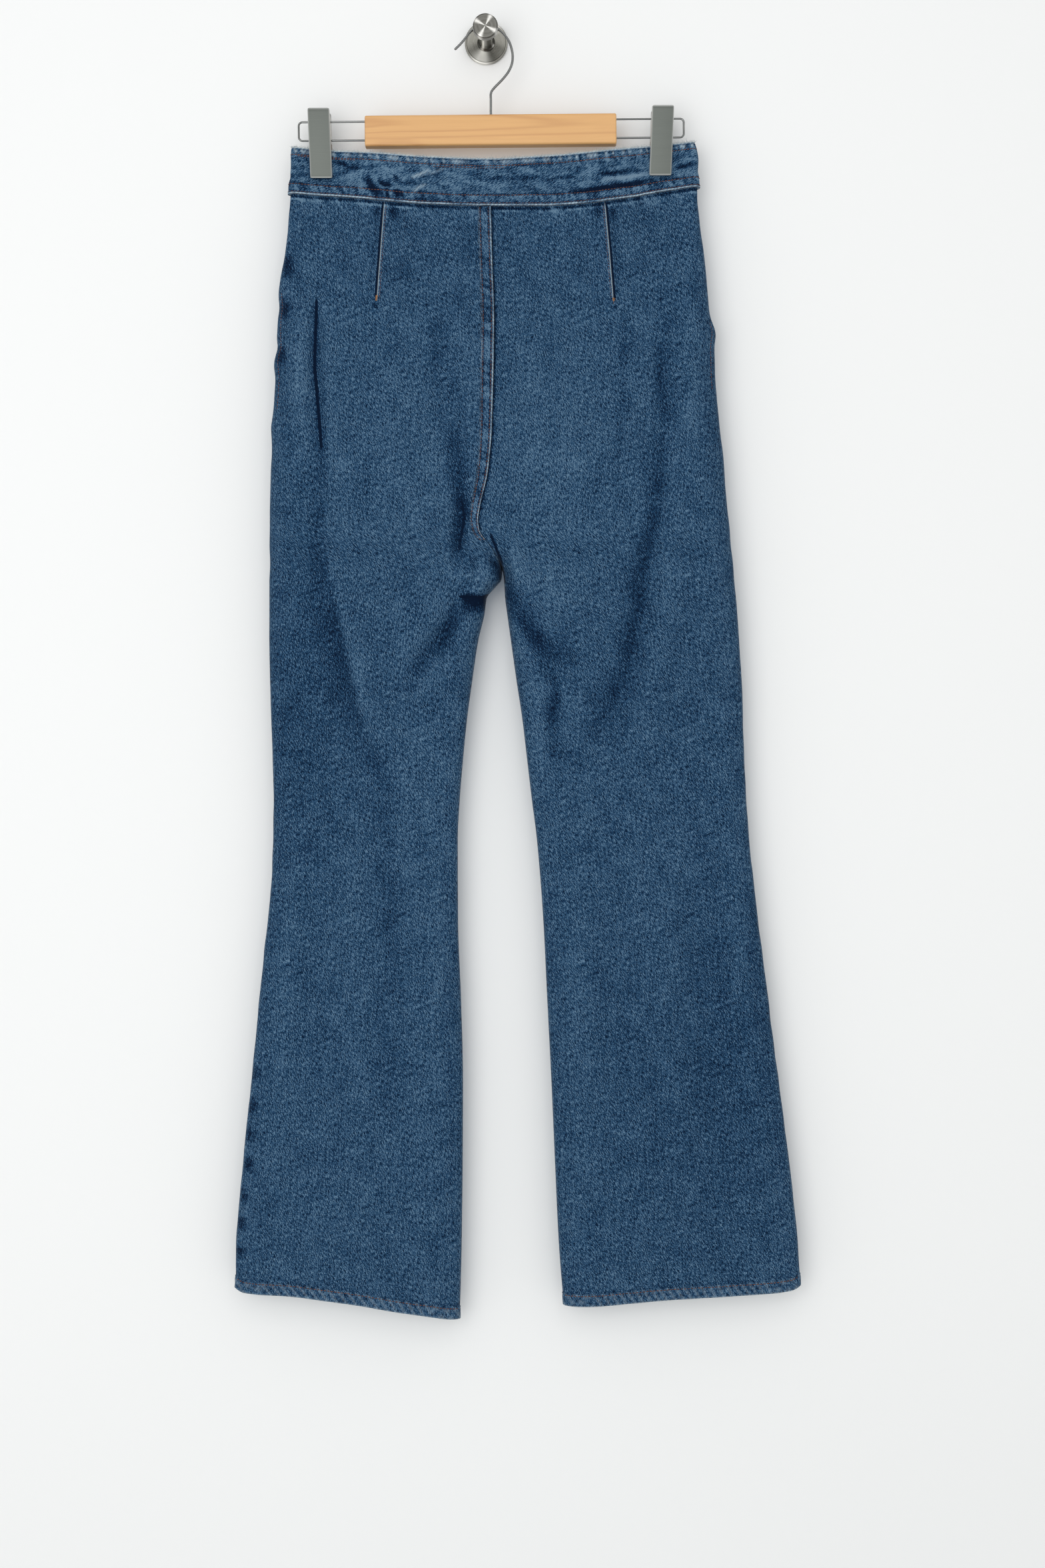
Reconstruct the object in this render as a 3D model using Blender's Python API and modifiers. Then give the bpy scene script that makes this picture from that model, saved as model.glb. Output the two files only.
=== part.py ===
"""Flared jeans, hung by the waistband from a clip hanger on a round wall hook.

Metres, +Z up. The origin is the middle of the wall plate's back, on the wall (the plane y = 0).
The jeans hang with their back towards -Y. "left" is the side towards -X, which is the wearer's left.

A panel is a grid of points on the garment's outer surface, given a wall by moving them in along the
surface's own normals. Sizes in the tables are millimetres.
"""

import math

import bpy
import numpy as np

# ---------------------------------------------------------------- driving sizes, millimetres
MM = 0.001
GAP = 0.3  # between neighbouring pieces
CLOTH = 1.6  # panel wall
BAND_WALL = 2.0  # waistband, two layers of cloth
BAND_TALL = 43.0
BAND_LAP = 8.0  # how far the band comes down over the panels
SEAM_WALL = 1.2  # felled seam and fly lap, lying on a panel
HEM_TALL = 11.0
HEM_EXTRA = 0.7  # the turned-up hem, each way
MID_Y = -28.0  # the plane between front and back
BAND_LOW = -151.0  # level of the band's lower edge
CROTCH_TOP, CROTCH_LOW = -464.3, -504.9  # where the centre seam turns under between the legs
HEM_LEVEL = -1175.0
PINCH_X = (-153.2, 163.0)  # the clips
PINCH_WIDE = 40.0
FRONT_SHARE = 0.8  # depth of the front against the back
FLY_TALL = 165.0
BUTTON_RADIUS, BUTTON_TALL = 8.5, 3.0

BAR = dict(x=4.6, z=-90.8, long=233.6, tall=28.5, deep=13.0)
TILT = math.radians(0.55)  # the hanger hangs a little up on the right
RAIL_RADIUS, RAIL_CORNER = 0.95, 3.6
RAIL_RISE = (10.0, -7.4)  # upper and lower wire against the bar's middle
RAIL_END = (-178.6, 179.7)  # outermost points of the two loops, against the bar's middle
CLIP = dict(wide=20.5, tall=64.2, wall=1.4, top=8.4, jaw=4.9, lean=0.039)
CLIP_X = (-153.7, 163.3)
CLIP_Z = (-103.9, -101.4)
HOOK_RADIUS = 1.2
PLATE_RADIUS, PLATE_THICK = 20.1, 4.0
PEG_RADIUS, PEG_LONG = 6.1, 50.0
KNOB_RADIUS, KNOB_LONG = 11.6, 8.5

DENIM = (0.075, 0.125, 0.19)
STEEL = (0.42, 0.43, 0.42)
MAPLE = (0.66, 0.44, 0.22)


# ---------------------------------------------------------------- tables
def table(columns, rows):
    """Named columns of a short table."""
    return dict(zip(columns.split(), np.array(rows, float).T))


# The garment's outer edges, and the depth of the plain form behind the mid plane, by height.
# round_out and round_in are how far the form takes to turn over at the side and at the inside leg.
OUTLINE = table(
    "z left right",
    [
        (-101.0, -179.6, 194.0),
        (-118.2, -180.3, 197.0),
        (-151.7, -181.6, 197.0),
        (-204.4, -186.5, 202.8),
        (-241.6, -192.7, 206.6),
        (-316.0, -195.6, 212.8),
        (-390.4, -199.3, 219.8),
        (-464.8, -200.8, 227.2),
        (-550.3, -201.1, 235.0),
        (-601.2, -200.8, 238.1),
        (-675.6, -198.2, 240.7),
        (-712.8, -197.4, 242.4),
        (-750.0, -197.7, 245.0),
        (-787.2, -199.5, 248.9),
        (-861.6, -207.0, 258.2),
        (-936.0, -214.4, 267.5),
        (-1010.4, -221.9, 277.4),
        (-1084.8, -229.1, 286.5),
        (-1122.0, -232.0, 290.3),
        (-1175.0, -233.0, 293.1),
        (-1200.0, -233.0, 293.4),
    ],
)
INSIDE = table(
    "z left right",
    [
        (-101.0, 5.1, 5.1),
        (-154.8, 5.1, 5.1),
        (-216.8, 6.6, 6.6),
        (-265.8, 8.2, 8.2),
        (-365.6, 6.3, 6.3),
        (-409.0, 2.6, 2.6),
        (-443.6, -5.0, -5.0),
        (-454.4, -6.5, -6.5),
        (-464.3, -5.3, -5.3),
        (-478.8, 5.0, 5.0),
        (-491.1, 12.3, 12.3),
        (-500.9, 15.3, 15.9),
        (-508.0, 14.7, 16.8),
        (-513.1, 10.6, 17.2),
        (-518.7, 5.7, 17.5),
        (-524.3, 1.2, 17.8),
        (-540.4, -1.1, 19.9),
        (-564.0, -6.7, 23.2),
        (-601.2, -12.3, 28.4),
        (-638.4, -17.3, 34.0),
        (-675.6, -21.0, 38.4),
        (-712.8, -24.1, 42.8),
        (-750.0, -25.9, 47.5),
        (-824.4, -25.6, 53.4),
        (-898.8, -22.8, 57.1),
        (-973.2, -21.0, 60.9),
        (-1047.6, -21.3, 64.2),
        (-1122.0, -22.2, 67.7),
        (-1200.0, -24.2, 73.9),
    ],
)
FRONT_CENTRE = table(  # the front's centre line runs straight down and joins the inside legs at the crotch
    "z x", [(-101.0, 5.1), (-400.0, 5.6), (-450.0, 7.0), (-491.1, 12.3), (-500.9, 15.6)]
)
DEPTH = table(
    "z back round_out round_in pinch",
    [
        (-100.0, 10.5, 6.0, 40.0, 0.80),
        (-138.0, 11.0, 6.5, 40.0, 0.80),
        (-175.0, 13.0, 11.0, 40.0, 0.55),
        (-240.0, 15.5, 22.0, 40.0, 0.12),
        (-310.0, 17.5, 28.0, 40.0, 0.0),
        (-400.0, 20.0, 30.0, 34.0, 0.0),
        (-470.0, 21.0, 30.0, 20.0, 0.0),
        (-520.0, 19.5, 30.0, 15.0, 0.0),
        (-570.0, 17.0, 29.0, 24.0, 0.0),
        (-650.0, 13.5, 26.0, 26.0, 0.0),
        (-760.0, 11.0, 24.0, 24.0, 0.0),
        (-900.0, 10.5, 24.0, 24.0, 0.0),
        (-1050.0, 11.0, 26.0, 26.0, 0.0),
        (-1200.0, 12.0, 28.0, 28.0, 0.0),
    ],
)
# The back waistband's top edge and lower edge: height against x.
BAND_EDGE = table(
    "x top low",
    [
        (-181.0, -106.2, -150.1),
        (-131.3, -110.2, -153.9),
        (-95.4, -113.9, -158.9),
        (-56.3, -117.0, -162.1),
        (3.8, -119.1, -164.0),
        (50.9, -116.8, -164.0),
        (95.0, -113.0, -161.3),
        (131.5, -107.9, -155.1),
        (160.7, -104.3, -148.9),
        (197.0, -101.2, -143.8),
    ],
)
# The hems' lower edge against the share of the way from the side to the inside leg.
HEM_EDGE = table(
    "share left right",
    [
        (0.0, -1165.5, -1163.5),
        (0.04, -1169.0, -1167.0),
        (0.25, -1171.9, -1171.0),
        (0.4, -1175.9, -1173.1),
        (0.56, -1180.6, -1175.2),
        (0.72, -1186.4, -1178.4),
        (0.86, -1190.5, -1181.1),
        (0.97, -1194.0, -1181.8),
        (1.0, -1194.5, -1181.5),
    ],
)
# Ridges (height over 0) and valleys (under 0): a bent line through three points, with how far the slope
# runs on its left and on its right. On a level line these are the slopes below and above.
FOLD = "x0 z0 x1 z1 x2 z2 left right height"
BACK_FOLDS = table(
    FOLD,
    [
        (-93.4, -153.1, -97.0, -207.4, -99.9, -255.5, 5, 6, 1.6),  # dart, left
        (110.1, -153.0, 114.3, -207.3, 117.8, -255.4, 6, 5, 1.6),  # dart, right
        (-155.7, -227.8, -156.3, -313.4, -148.6, -412.9, 8, 8, -4.6),  # crease down the left hip
        (-148.7, -383.1, -151.1, -457.5, -156.3, -561.2, 12, 12, -3.0),
        (-170.5, -253.2, -172.1, -333.3, -168.0, -403.0, 9, 9, 2.2),
        (-21.6, -398.0, -24.1, -457.5, -26.0, -502.0, 8, 9, -5.4),  # dent beside the centre seam
        (-13.5, -502.0, 0.3, -507.9, 12.2, -501.0, 11, 14, 5.5),  # the slack cloth over the left leg
        (-22.5, -533.6, -5.6, -536.5, 8.2, -534.6, 9, 8, -7.0),
        (-16.5, -519.8, -43.3, -564.2, -67.2, -598.8, 9, 12, -6.0),  # valley from it down the thigh
        (-39.3, -513.8, -65.1, -557.3, -91.0, -594.8, 14, 13, 3.2),
        (-148.2, -529.6, -128.8, -622.6, -108.1, -690.0, 14, 10, -3.4),  # thigh, left
        (-132.4, -529.6, -111.9, -622.6, -89.2, -690.0, 10, 16, 3.6),
        (155.7, -442.7, 139.1, -571.1, 111.5, -680.1, 14, 14, -4.2),  # thigh, right
        (176.5, -472.4, 162.9, -581.0, 139.3, -690.0, 16, 18, 3.0),
        (19.2, -494.1, 41.9, -556.3, 65.8, -610.7, 9, 11, -5.0),  # inside of the right thigh
        (61.9, -610.7, 65.0, -645.4, 66.2, -700.0, 9, 10, -3.4),
        (24.1, -468.4, 27.1, -502.0, 31.0, -546.4, 6, 13, 4.0),  # the right leg's edge over the seam
        (158.1, -218.5, 163.8, -343.3, 164.6, -442.7, 14, 14, -2.2),
        (184.2, -218.7, 188.6, -333.3, 186.4, -442.7, 12, 14, 2.0),
        (-175.4, -166.6, -175.0, -203.4, -173.2, -251.2, 8, 9, -1.4),
        (-45.2, -265.5, -37.1, -319.4, -29.1, -375.1, 12, 12, -1.8),
        (59.8, -333.3, 71.6, -403.0, 79.5, -482.3, 34, 34, 2.2),  # seat
        (-82.9, -333.3, -76.9, -403.0, -72.9, -482.3, 34, 34, 2.0),
        (-108.0, -650.3, -90.3, -792.5, -89.3, -948.7, 20, 18, -3.0),  # calf, left
        (-151.0, -779.6, -149.0, -928.8, -160.9, -1087.8, 20, 20, -2.4),
        (-123.1, -739.8, -119.2, -928.8, -127.1, -1127.5, 22, 22, 2.4),
        (-174.7, -719.9, -180.9, -898.9, -194.7, -1077.9, 16, 16, 2.0),
        (-51.5, -759.7, -49.6, -928.8, -53.5, -1117.6, 18, 16, 2.2),
        (119.5, -700.0, 127.5, -859.1, 133.5, -1018.2, 22, 20, -3.0),  # calf, right
        (199.1, -759.7, 205.1, -918.8, 220.9, -1087.8, 22, 22, -2.8),
        (159.3, -739.8, 169.3, -928.8, 181.1, -1127.5, 24, 24, 2.6),
        (83.7, -759.7, 89.7, -928.8, 97.6, -1117.6, 18, 18, 2.4),
        (226.8, -700.0, 236.9, -879.0, 250.8, -1077.9, 14, 14, 1.8),
    ],
)
# Narrow folds that three neighbouring columns of a back panel are drawn to, so that the wall has their form.
# The column is counted from the side, and `half` is the step to its neighbours.
DRAWN = {
    "left": table("column half " + FOLD[:17], [(8, 4.6, -94.1, -150, -97.9, -204, -101.0, -252),
                                              (5, 7.5, -156.8, -225, -158.0, -310, -150.5, -410)]),
    "right": table("column half " + FOLD[:17], [(8, 4.6, 110.5, -150, 114.8, -204, 118.5, -252)]),
}
FRONT_FOLDS = table(
    FOLD,
    [
        (-60.0, -440, -90.0, -520, -112.0, -600, 16, 16, -2.4),
        (70.0, -440, 102.0, -520, 128.0, -600, 16, 16, -2.4),
        (-105.0, -640, -112.0, -860, -124.0, -1120, 26, 26, 2.2),
        (135.0, -640, 150.0, -860, 172.0, -1120, 26, 26, 2.2),
        (-62.0, -700, -66.0, -880, -70.0, -1060, 20, 20, -1.8),
        (92.0, -700, 104.0, -880, 116.0, -1060, 20, 20, -1.8),
    ],
)


# ---------------------------------------------------------------- the garment's form
def along(rows, key, at, by="z"):
    """The column at each place, as a smooth curve through the table's rows that never overshoots."""
    x, y = rows[by], rows[key]
    if x[0] > x[-1]:
        x, y = x[::-1], y[::-1]
    step = np.diff(x)
    rise = np.diff(y) / step
    slope = np.zeros(len(x))
    same = rise[:-1] * rise[1:] > 0
    mean = 2 * rise[:-1] * rise[1:] / np.where(same, rise[:-1] + rise[1:], 1.0)
    slope[1:-1] = np.where(same, mean, 0.0)
    slope[0], slope[-1] = rise[0], rise[-1]
    at = np.clip(at, x[0], x[-1])
    k = np.clip(np.searchsorted(x, at, side="right") - 1, 0, len(x) - 2)
    t = (at - x[k]) / step[k]
    out = (1 + 2 * t) * (1 - t) ** 2 * y[k] + t * (1 - t) ** 2 * step[k] * slope[k]
    return out + t * t * (3 - 2 * t) * y[k + 1] + t * t * (t - 1) * step[k] * slope[k + 1]


def ease(value):
    value = np.clip(value, 0.0, 1.0)
    return value * value * (3 - 2 * value)


def fold_height(rows, x, z):
    """Height over the plain form: each fold is a bell across its bent line, fading to both its ends."""
    total = np.zeros_like(x)
    for i in range(len(rows["height"])):
        best = np.full(x.shape, 1e9)
        reach = np.ones_like(x)
        place = np.zeros_like(x)
        for leg in (0, 1):
            ax, az = rows[f"x{leg}"][i], rows[f"z{leg}"][i]
            bx, bz = rows[f"x{leg + 1}"][i], rows[f"z{leg + 1}"][i]
            ux, uz = bx - ax, bz - az
            t = np.clip(((x - ax) * ux + (z - az) * uz) / (ux * ux + uz * uz), 0, 1)
            dx, dz = x - ax - t * ux, z - az - t * uz
            away = np.hypot(dx, dz)
            nearer = away < best
            wide = np.where(ux * dz - uz * dx > 0, rows["right"][i], rows["left"][i])
            best = np.where(nearer, away, best)
            reach = np.where(nearer, wide, reach)
            place = np.where(nearer, (leg + t) / 2, place)
        total += rows["height"][i] * np.exp(-((best / reach) ** 2)) * np.sin(np.pi * place) ** 0.6
    return total


def seam_turn(z):
    """0 down the centre seam, 1 from the crotch down, where the inner edge is the inside leg."""
    return ease((CROTCH_TOP - z) / (CROTCH_TOP - CROTCH_LOW))


def inner_edge(z, side, face):
    x = along(INSIDE, side, z)
    if face == "front":
        x = np.where(z > -500.9, along(FRONT_CENTRE, "x", z), x)
    return x


def shaped_height(level, x, share, side):
    """Height of a level: level lines follow the waistband above and the hem below."""
    top, low = along(BAND_EDGE, "top", x, "x"), along(BAND_EDGE, "low", x, "x")
    up = (level - BAND_LOW) / BAND_TALL
    in_band = low + up * (top - low)
    below = level + (low - BAND_LOW) * ease((level + 330.0) / 179.0)
    hem = along(HEM_EDGE, side, share, "share") - HEM_LEVEL
    below = below + hem * ease((-1000.0 - level) / 175.0)
    return np.where(level > BAND_LOW, in_band, below)


def drawn_columns(x, level, side):
    """Draws the columns of the DRAWN table onto their folds, letting them go within 40 mm of its ends."""
    turn = 1.0 if side == "left" else -1.0
    rows = DRAWN[side]
    for i in range(len(rows["half"])):
        bent = dict(z=np.array([rows[f"z{k}"][i] for k in range(3)]), x=np.array([rows[f"x{k}"][i] for k in range(3)]))
        hold = ease((level - bent["z"][2]) / 40.0 + 1) * ease((bent["z"][0] - level) / 40.0 + 1)
        for step in (-1, 0, 1):
            k = int(rows["column"][i]) + step
            target = along(bent, "x", level[:, k]) + turn * step * rows["half"][i]
            x[:, k] += (target - x[:, k]) * hold[:, k]
    return x


def form(side, face, level, outer, middle, inner):
    """Points of the garment's outer surface and their outward normals, as rows by columns.

    A column lies `outer` of the side's rounding in from the side, then `middle` of the flat part, then
    `inner` of the inside leg's rounding. Columns run towards +X."""
    turn = 1.0 if side == "left" else -1.0
    level, outer = np.meshgrid(level, outer, indexing="ij")
    middle, inner = np.broadcast_to(middle, level.shape), np.broadcast_to(inner, level.shape)
    zero, one = np.zeros_like(level), np.ones_like(level)
    z_out = shaped_height(level, along(OUTLINE, side, level), zero, side)
    z_in = shaped_height(level, inner_edge(level, side, face), one, side)
    x_out = along(OUTLINE, side, z_out)
    x_in = inner_edge(z_in, side, face) - turn * GAP / 2
    wide = np.abs(x_in - x_out)
    r_out, r_in = along(DEPTH, "round_out", level), along(DEPTH, "round_in", level)
    s = outer * r_out + middle * (wide - r_out - r_in) + inner * r_in
    x = x_out + turn * s
    if face == "back":
        x = drawn_columns(x, level, side)
        s = (x - x_out) * turn
    z = shaped_height(level, x, s / wide, side)
    under = seam_turn(z)
    side_turn = np.sqrt(np.clip(1 - (1 - np.minimum(s / r_out, 1)) ** 2, 0, 1))
    leg_turn = np.sqrt(np.clip(1 - under * (1 - np.minimum((wide - s) / r_in, 1)) ** 2, 0, 1))
    pinch = sum(np.exp(-np.abs((x - at) / PINCH_WIDE) ** 3) for at in PINCH_X)
    depth = along(DEPTH, "back", z) * (1 - along(DEPTH, "pinch", z) * pinch)
    folds = fold_height(BACK_FOLDS if face == "back" else FRONT_FOLDS, x, z)
    folds = folds * ease((BAND_LOW + 5 - level) / 20.0)
    if face == "front":
        depth = depth * FRONT_SHARE + 0.5
    depth = np.maximum((depth + folds) * side_turn * leg_turn, GAP / 2)
    out = -1.0 if face == "back" else 1.0
    points = np.stack([x, MID_Y + out * depth, z], axis=-1)
    if side == "right":
        points = points[:, ::-1]
        under, turn = under[:, ::-1], turn
    across, down = np.gradient(points, axis=1), np.gradient(points, axis=0)
    normal = np.cross(across, down) * out
    side_column, leg_column = (0, -1) if side == "left" else (-1, 0)
    normal[:, side_column, 1] = 0
    edge = normal[:, leg_column]
    lean = np.maximum(edge[:, 0] * turn, 0) * turn
    edge[:, 0] = lean * np.clip(under[:, leg_column] * 4, 0, 1)
    edge[:, 1] = np.where(under[:, leg_column] > 0.995, 0, edge[:, 1])
    edge[:, 0] = np.where(np.linalg.norm(edge, axis=1) < 1e-6, turn, edge[:, 0])
    normal /= np.linalg.norm(normal, axis=2, keepdims=True)
    return points, normal


def moved(points, normal, by, face):
    """The points moved out by this much, kept on their own side of the mid plane."""
    out = -1.0 if face == "back" else 1.0
    by = np.broadcast_to(by, points.shape[:2])[..., None]
    new = points + normal * by
    new[..., 1] = MID_Y + out * np.maximum((new[..., 1] - MID_Y) * out, GAP / 2)
    return new


# ---------------------------------------------------------------- meshes
def new_material(name, colour, metallic=0.0, roughness=0.8):
    material = bpy.data.materials.new(name)
    material.use_nodes = True
    shader = material.node_tree.nodes["Principled BSDF"]
    shader.inputs["Base Color"].default_value = (*colour, 1.0)
    shader.inputs["Metallic"].default_value = metallic
    shader.inputs["Roughness"].default_value = roughness
    return material


def solid(name, points, faces, material, smooth=True):
    """A named object from millimetre points, its faces turned to point out."""
    points, faces = np.asarray(points, float), [tuple(int(i) for i in face) for face in faces]
    volume = 0.0
    for face in faces:
        for k in range(1, len(face) - 1):
            volume += np.linalg.det(points[[face[0], face[k], face[k + 1]]])
    if volume < 0:
        faces = [face[::-1] for face in faces]
    mesh = bpy.data.meshes.new(name)
    mesh.from_pydata((points * MM).tolist(), [], faces)
    mesh.validate()
    mesh.materials.append(material)
    mesh.polygons.foreach_set("use_smooth", [smooth] * len(mesh.polygons))
    made = bpy.data.objects.new(name, mesh)
    collection.objects.link(made)
    return made


def wall(name, outside, inside, material):
    """A closed wall between two grids of the same size, every square split along the same diagonal."""
    rows, columns = outside.shape[:2]
    count = rows * columns
    index = np.arange(count).reshape(rows, columns)
    a, b, c, d = index[:-1, :-1], index[:-1, 1:], index[1:, 1:], index[1:, :-1]
    front = np.concatenate([np.stack([a, b, c], -1), np.stack([a, c, d], -1)]).reshape(-1, 3)
    faces = [tuple(face) for face in front] + [tuple(face[::-1] + count) for face in front]
    rim = list(index[0]) + list(index[1:, -1]) + list(index[-1, -2::-1]) + list(index[-2:0:-1, 0])
    for k, i in enumerate(rim):
        j = rim[(k + 1) % len(rim)]
        faces += [(j, i, i + count), (j, i + count, j + count)]
    points = np.concatenate([outside.reshape(-1, 3), inside.reshape(-1, 3)])
    return solid(name, points, faces, material)


def box(name, low, high, material, bevel=0.0):
    corners = [(x, y, z) for x in (low[0], high[0]) for y in (low[1], high[1]) for z in (low[2], high[2])]
    faces = [(0, 1, 3, 2), (4, 6, 7, 5), (0, 4, 5, 1), (2, 3, 7, 6), (0, 2, 6, 4), (1, 5, 7, 3)]
    made = solid(name, corners, faces, material, smooth=False)
    if bevel:
        modifier = made.modifiers.new("edges", "BEVEL")
        modifier.width, modifier.segments = bevel * MM, 2
    return made


def tube(name, path, radius, material, sides=10, smooth=True):
    """A round wire along the path, with flat ends."""
    path = np.asarray(path, float)
    ahead = np.gradient(path, axis=0)
    ahead /= np.linalg.norm(ahead, axis=1, keepdims=True)
    across = np.cross(ahead[0], (0.0, 1.0, 0.0) if abs(ahead[0][1]) < 0.9 else (1.0, 0.0, 0.0))
    rings = []
    for point, way in zip(path, ahead):
        across = across - way * np.dot(across, way)
        across = across / np.linalg.norm(across)
        other = np.cross(way, across)
        angle = np.arange(sides) * 2 * math.pi / sides
        rings.append(point + radius * (np.cos(angle)[:, None] * across + np.sin(angle)[:, None] * other))
    last = len(rings) - 1
    faces = [tuple(range(sides))[::-1], tuple(last * sides + k for k in range(sides))]
    for ring in range(last):
        for k in range(sides):
            a, b = ring * sides + k, ring * sides + (k + 1) % sides
            faces.append((a, b, b + sides, a + sides))
    return solid(name, np.concatenate(rings), faces, material, smooth)


def turned(name, profile, material, centre, sides=32):
    """A solid turned about the Y axis through centre, from (radius, y) pairs that start and end at radius 0."""
    angle = np.arange(sides) * 2 * math.pi / sides
    points = [(0.0, profile[0][1], 0.0)]
    for radius, y in profile[1:-1]:
        points += [(radius * math.cos(a), y, radius * math.sin(a)) for a in angle]
    points.append((0.0, profile[-1][1], 0.0))
    faces, rings, end = [], len(profile) - 2, len(points) - 1
    for k in range(sides):
        n = (k + 1) % sides
        faces.append((0, 1 + k, 1 + n))
        for ring in range(rings - 1):
            a, b = 1 + ring * sides + k, 1 + ring * sides + n
            faces.append((a, a + sides, b + sides, b))
        a, b = 1 + (rings - 1) * sides + k, 1 + (rings - 1) * sides + n
        faces.append((a, end, b))
    return solid(name, np.array(points) + np.array(centre), faces, material)


def joined(target, other, operation):
    """Adds `other` to the target, or cuts it out; `other` stays as a helper that isn't rendered."""
    modifier = target.modifiers.new(other.name, "BOOLEAN")
    modifier.object, modifier.operation, modifier.solver = other, operation, "EXACT"
    other.hide_render = True
    other.display_type = "WIRE"


def curve_through(points, per=4):
    """A smooth path through the points."""
    points = np.asarray(points, float)
    ends = np.concatenate([[2 * points[0] - points[1]], points, [2 * points[-1] - points[-2]]])
    path = []
    for k in range(1, len(ends) - 2):
        a, b, c, d = ends[k - 1 : k + 3]
        for t in np.arange(per) / per:
            path.append(
                0.5 * (2 * b + (c - a) * t + (2 * a - 5 * b + 4 * c - d) * t**2 + (3 * b - a - 3 * c + d) * t**3)
            )
    path.append(points[-1])
    return np.array(path)


def tilted(x, z):
    """A place on the hanger, given level, after the hanger's tilt about the bar's middle."""
    dx, dz = np.asarray(x, float) - BAR["x"], np.asarray(z, float) - BAR["z"]
    return (
        BAR["x"] + dx * math.cos(TILT) - dz * math.sin(TILT),
        BAR["z"] + dx * math.sin(TILT) + dz * math.cos(TILT),
    )


# ---------------------------------------------------------------- the cut pieces
def levels(seat, crotch, leg):
    """Rows of a panel from its top, under the band, to the hem, closest together about the crotch."""
    tail = [HEM_LEVEL + HEM_TALL + 0.6, HEM_LEVEL + HEM_TALL, HEM_LEVEL]
    return np.concatenate(
        [
            [BAND_LOW + BAND_LAP, BAND_LOW, BAND_LOW - 0.6],
            np.linspace(BAND_LOW - 16, -430, seat),
            np.linspace(-445, -550, crotch),
            np.linspace(-577, -1140, leg),
            tail,
        ]
    )


def columns(flat):
    """The columns of a panel: its side's rounding, `flat` steps across, and its inside leg's rounding."""
    turn = 1 - np.cos(np.radians([0, 22.5, 45, 67.5]))
    outer = np.concatenate([turn, np.ones(flat + 1 + 4)])
    middle = np.concatenate([np.zeros(4), np.arange(flat + 1) / flat, np.ones(4)])
    inner = np.concatenate([np.zeros(4 + flat + 1), 1 - turn[::-1]])
    return outer, middle, inner


def hem_lift(level):
    return np.where(level <= HEM_LEVEL + HEM_TALL + 0.1, HEM_EXTRA, 0.0)[:, None]


def panel(side, face, material, level, across):
    points, normal = form(side, face, level, *across)
    lift = hem_lift(level)
    outside = moved(points, normal, lift, face)
    inside = moved(points, normal, -CLOTH - lift, face)
    wall(f"{face}_{side}", outside, inside, material)
    return points, normal


def on_top(name, points, normal, low, high, face, material):
    """A piece lying on a panel, made from the panel's points moved out."""
    return wall(name, moved(points, normal, high, face), moved(points, normal, low, face), material)


def band_rows():
    return BAND_LOW + np.array([BAND_TALL, 36.0, 28.0, 19.0, 12.0, BAND_LAP, 0.0])


def band_lift():
    """How far the band's inner face stands off the form: clear over the panels, sunk in above them."""
    return np.array([-1.3, -1.3, -1.3, -1.1, GAP, GAP, GAP])[:, None]


def both(left, right, skip=1):
    return np.concatenate([left, right[:, skip:]], axis=1)


def garment(denim, metal):
    level, front_level = levels(10, 14, 15), levels(7, 9, 10)
    wide, plain = columns(8), columns(5)
    grid = {}
    for side in ("left", "right"):
        grid["back", side] = panel(side, "back", denim, level, wide)
        grid["front", side] = panel(side, "front", denim, front_level, plain)

    # waistband: back in one piece, front lapped left over right
    rows, lift = band_rows(), band_lift()
    part = {s: form(s, "back", rows, *wide) for s in ("left", "right")}
    points, normal = both(part["left"][0], part["right"][0]), both(part["left"][1], part["right"][1])
    on_top("band_back", points, normal, lift, lift + BAND_WALL, "back", denim)
    part = {s: form(s, "front", rows, *plain) for s in ("left", "right")}
    for grid_part in part.values():
        grid_part[0][0, :, 2] -= 3.0  # the front's top edge lies a little lower than the back's
    points, normal = part["right"]
    on_top("band_front_right", points, normal, lift, lift + BAND_WALL, "front", denim)
    points = both(part["left"][0], part["right"][0][:, :4])
    normal = both(part["left"][1], part["right"][1][:, :4])
    lap = np.zeros(points.shape[1])
    lap[-7:] = (0.4, 0.8, 1.0, 1.0, 1.0, 1.0, 1.0)
    lift = lift + lap[None, :] * (BAND_WALL + GAP)
    on_top("band_front_left", points, normal, lift, lift + BAND_WALL, "front", denim)
    button_on(points[2, -2], lift[2, -2] + BAND_WALL, metal)

    # the felled centre seam, on the left back panel beside the seam
    points, normal = grid["back", "left"]
    rows = np.where((level < BAND_LOW - 0.3) & (level > CROTCH_TOP - 12))[0]
    cut = np.ix_(rows, range(points.shape[1] - 3, points.shape[1]))
    on_top("centre_back_seam", points[cut], normal[cut], GAP, GAP + SEAM_WALL, "back", denim)

    # the fly lap, on the left front panel beside the centre
    points, normal = grid["front", "left"]
    rows = np.where((front_level < BAND_LOW - 0.3) & (front_level > BAND_LOW - FLY_TALL))[0]
    cut = np.ix_(rows, range(points.shape[1] - 5, points.shape[1]))
    on_top("fly", points[cut], normal[cut], GAP, GAP + SEAM_WALL, "front", denim)


def button_on(place, lift, metal):
    """The shank button's head, standing off the lap towards the wall."""
    y = place[1] + lift + 1.5 * GAP
    r, t = BUTTON_RADIUS, BUTTON_TALL
    profile = [(0, y), (r - 0.6, y), (r, y + 0.7), (r - 0.5, y + t - 0.9), (r * 0.6, y + t), (0, y + t)]
    turned("waist_button", profile, metal, (place[0], 0, place[2]), sides=24)


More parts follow.
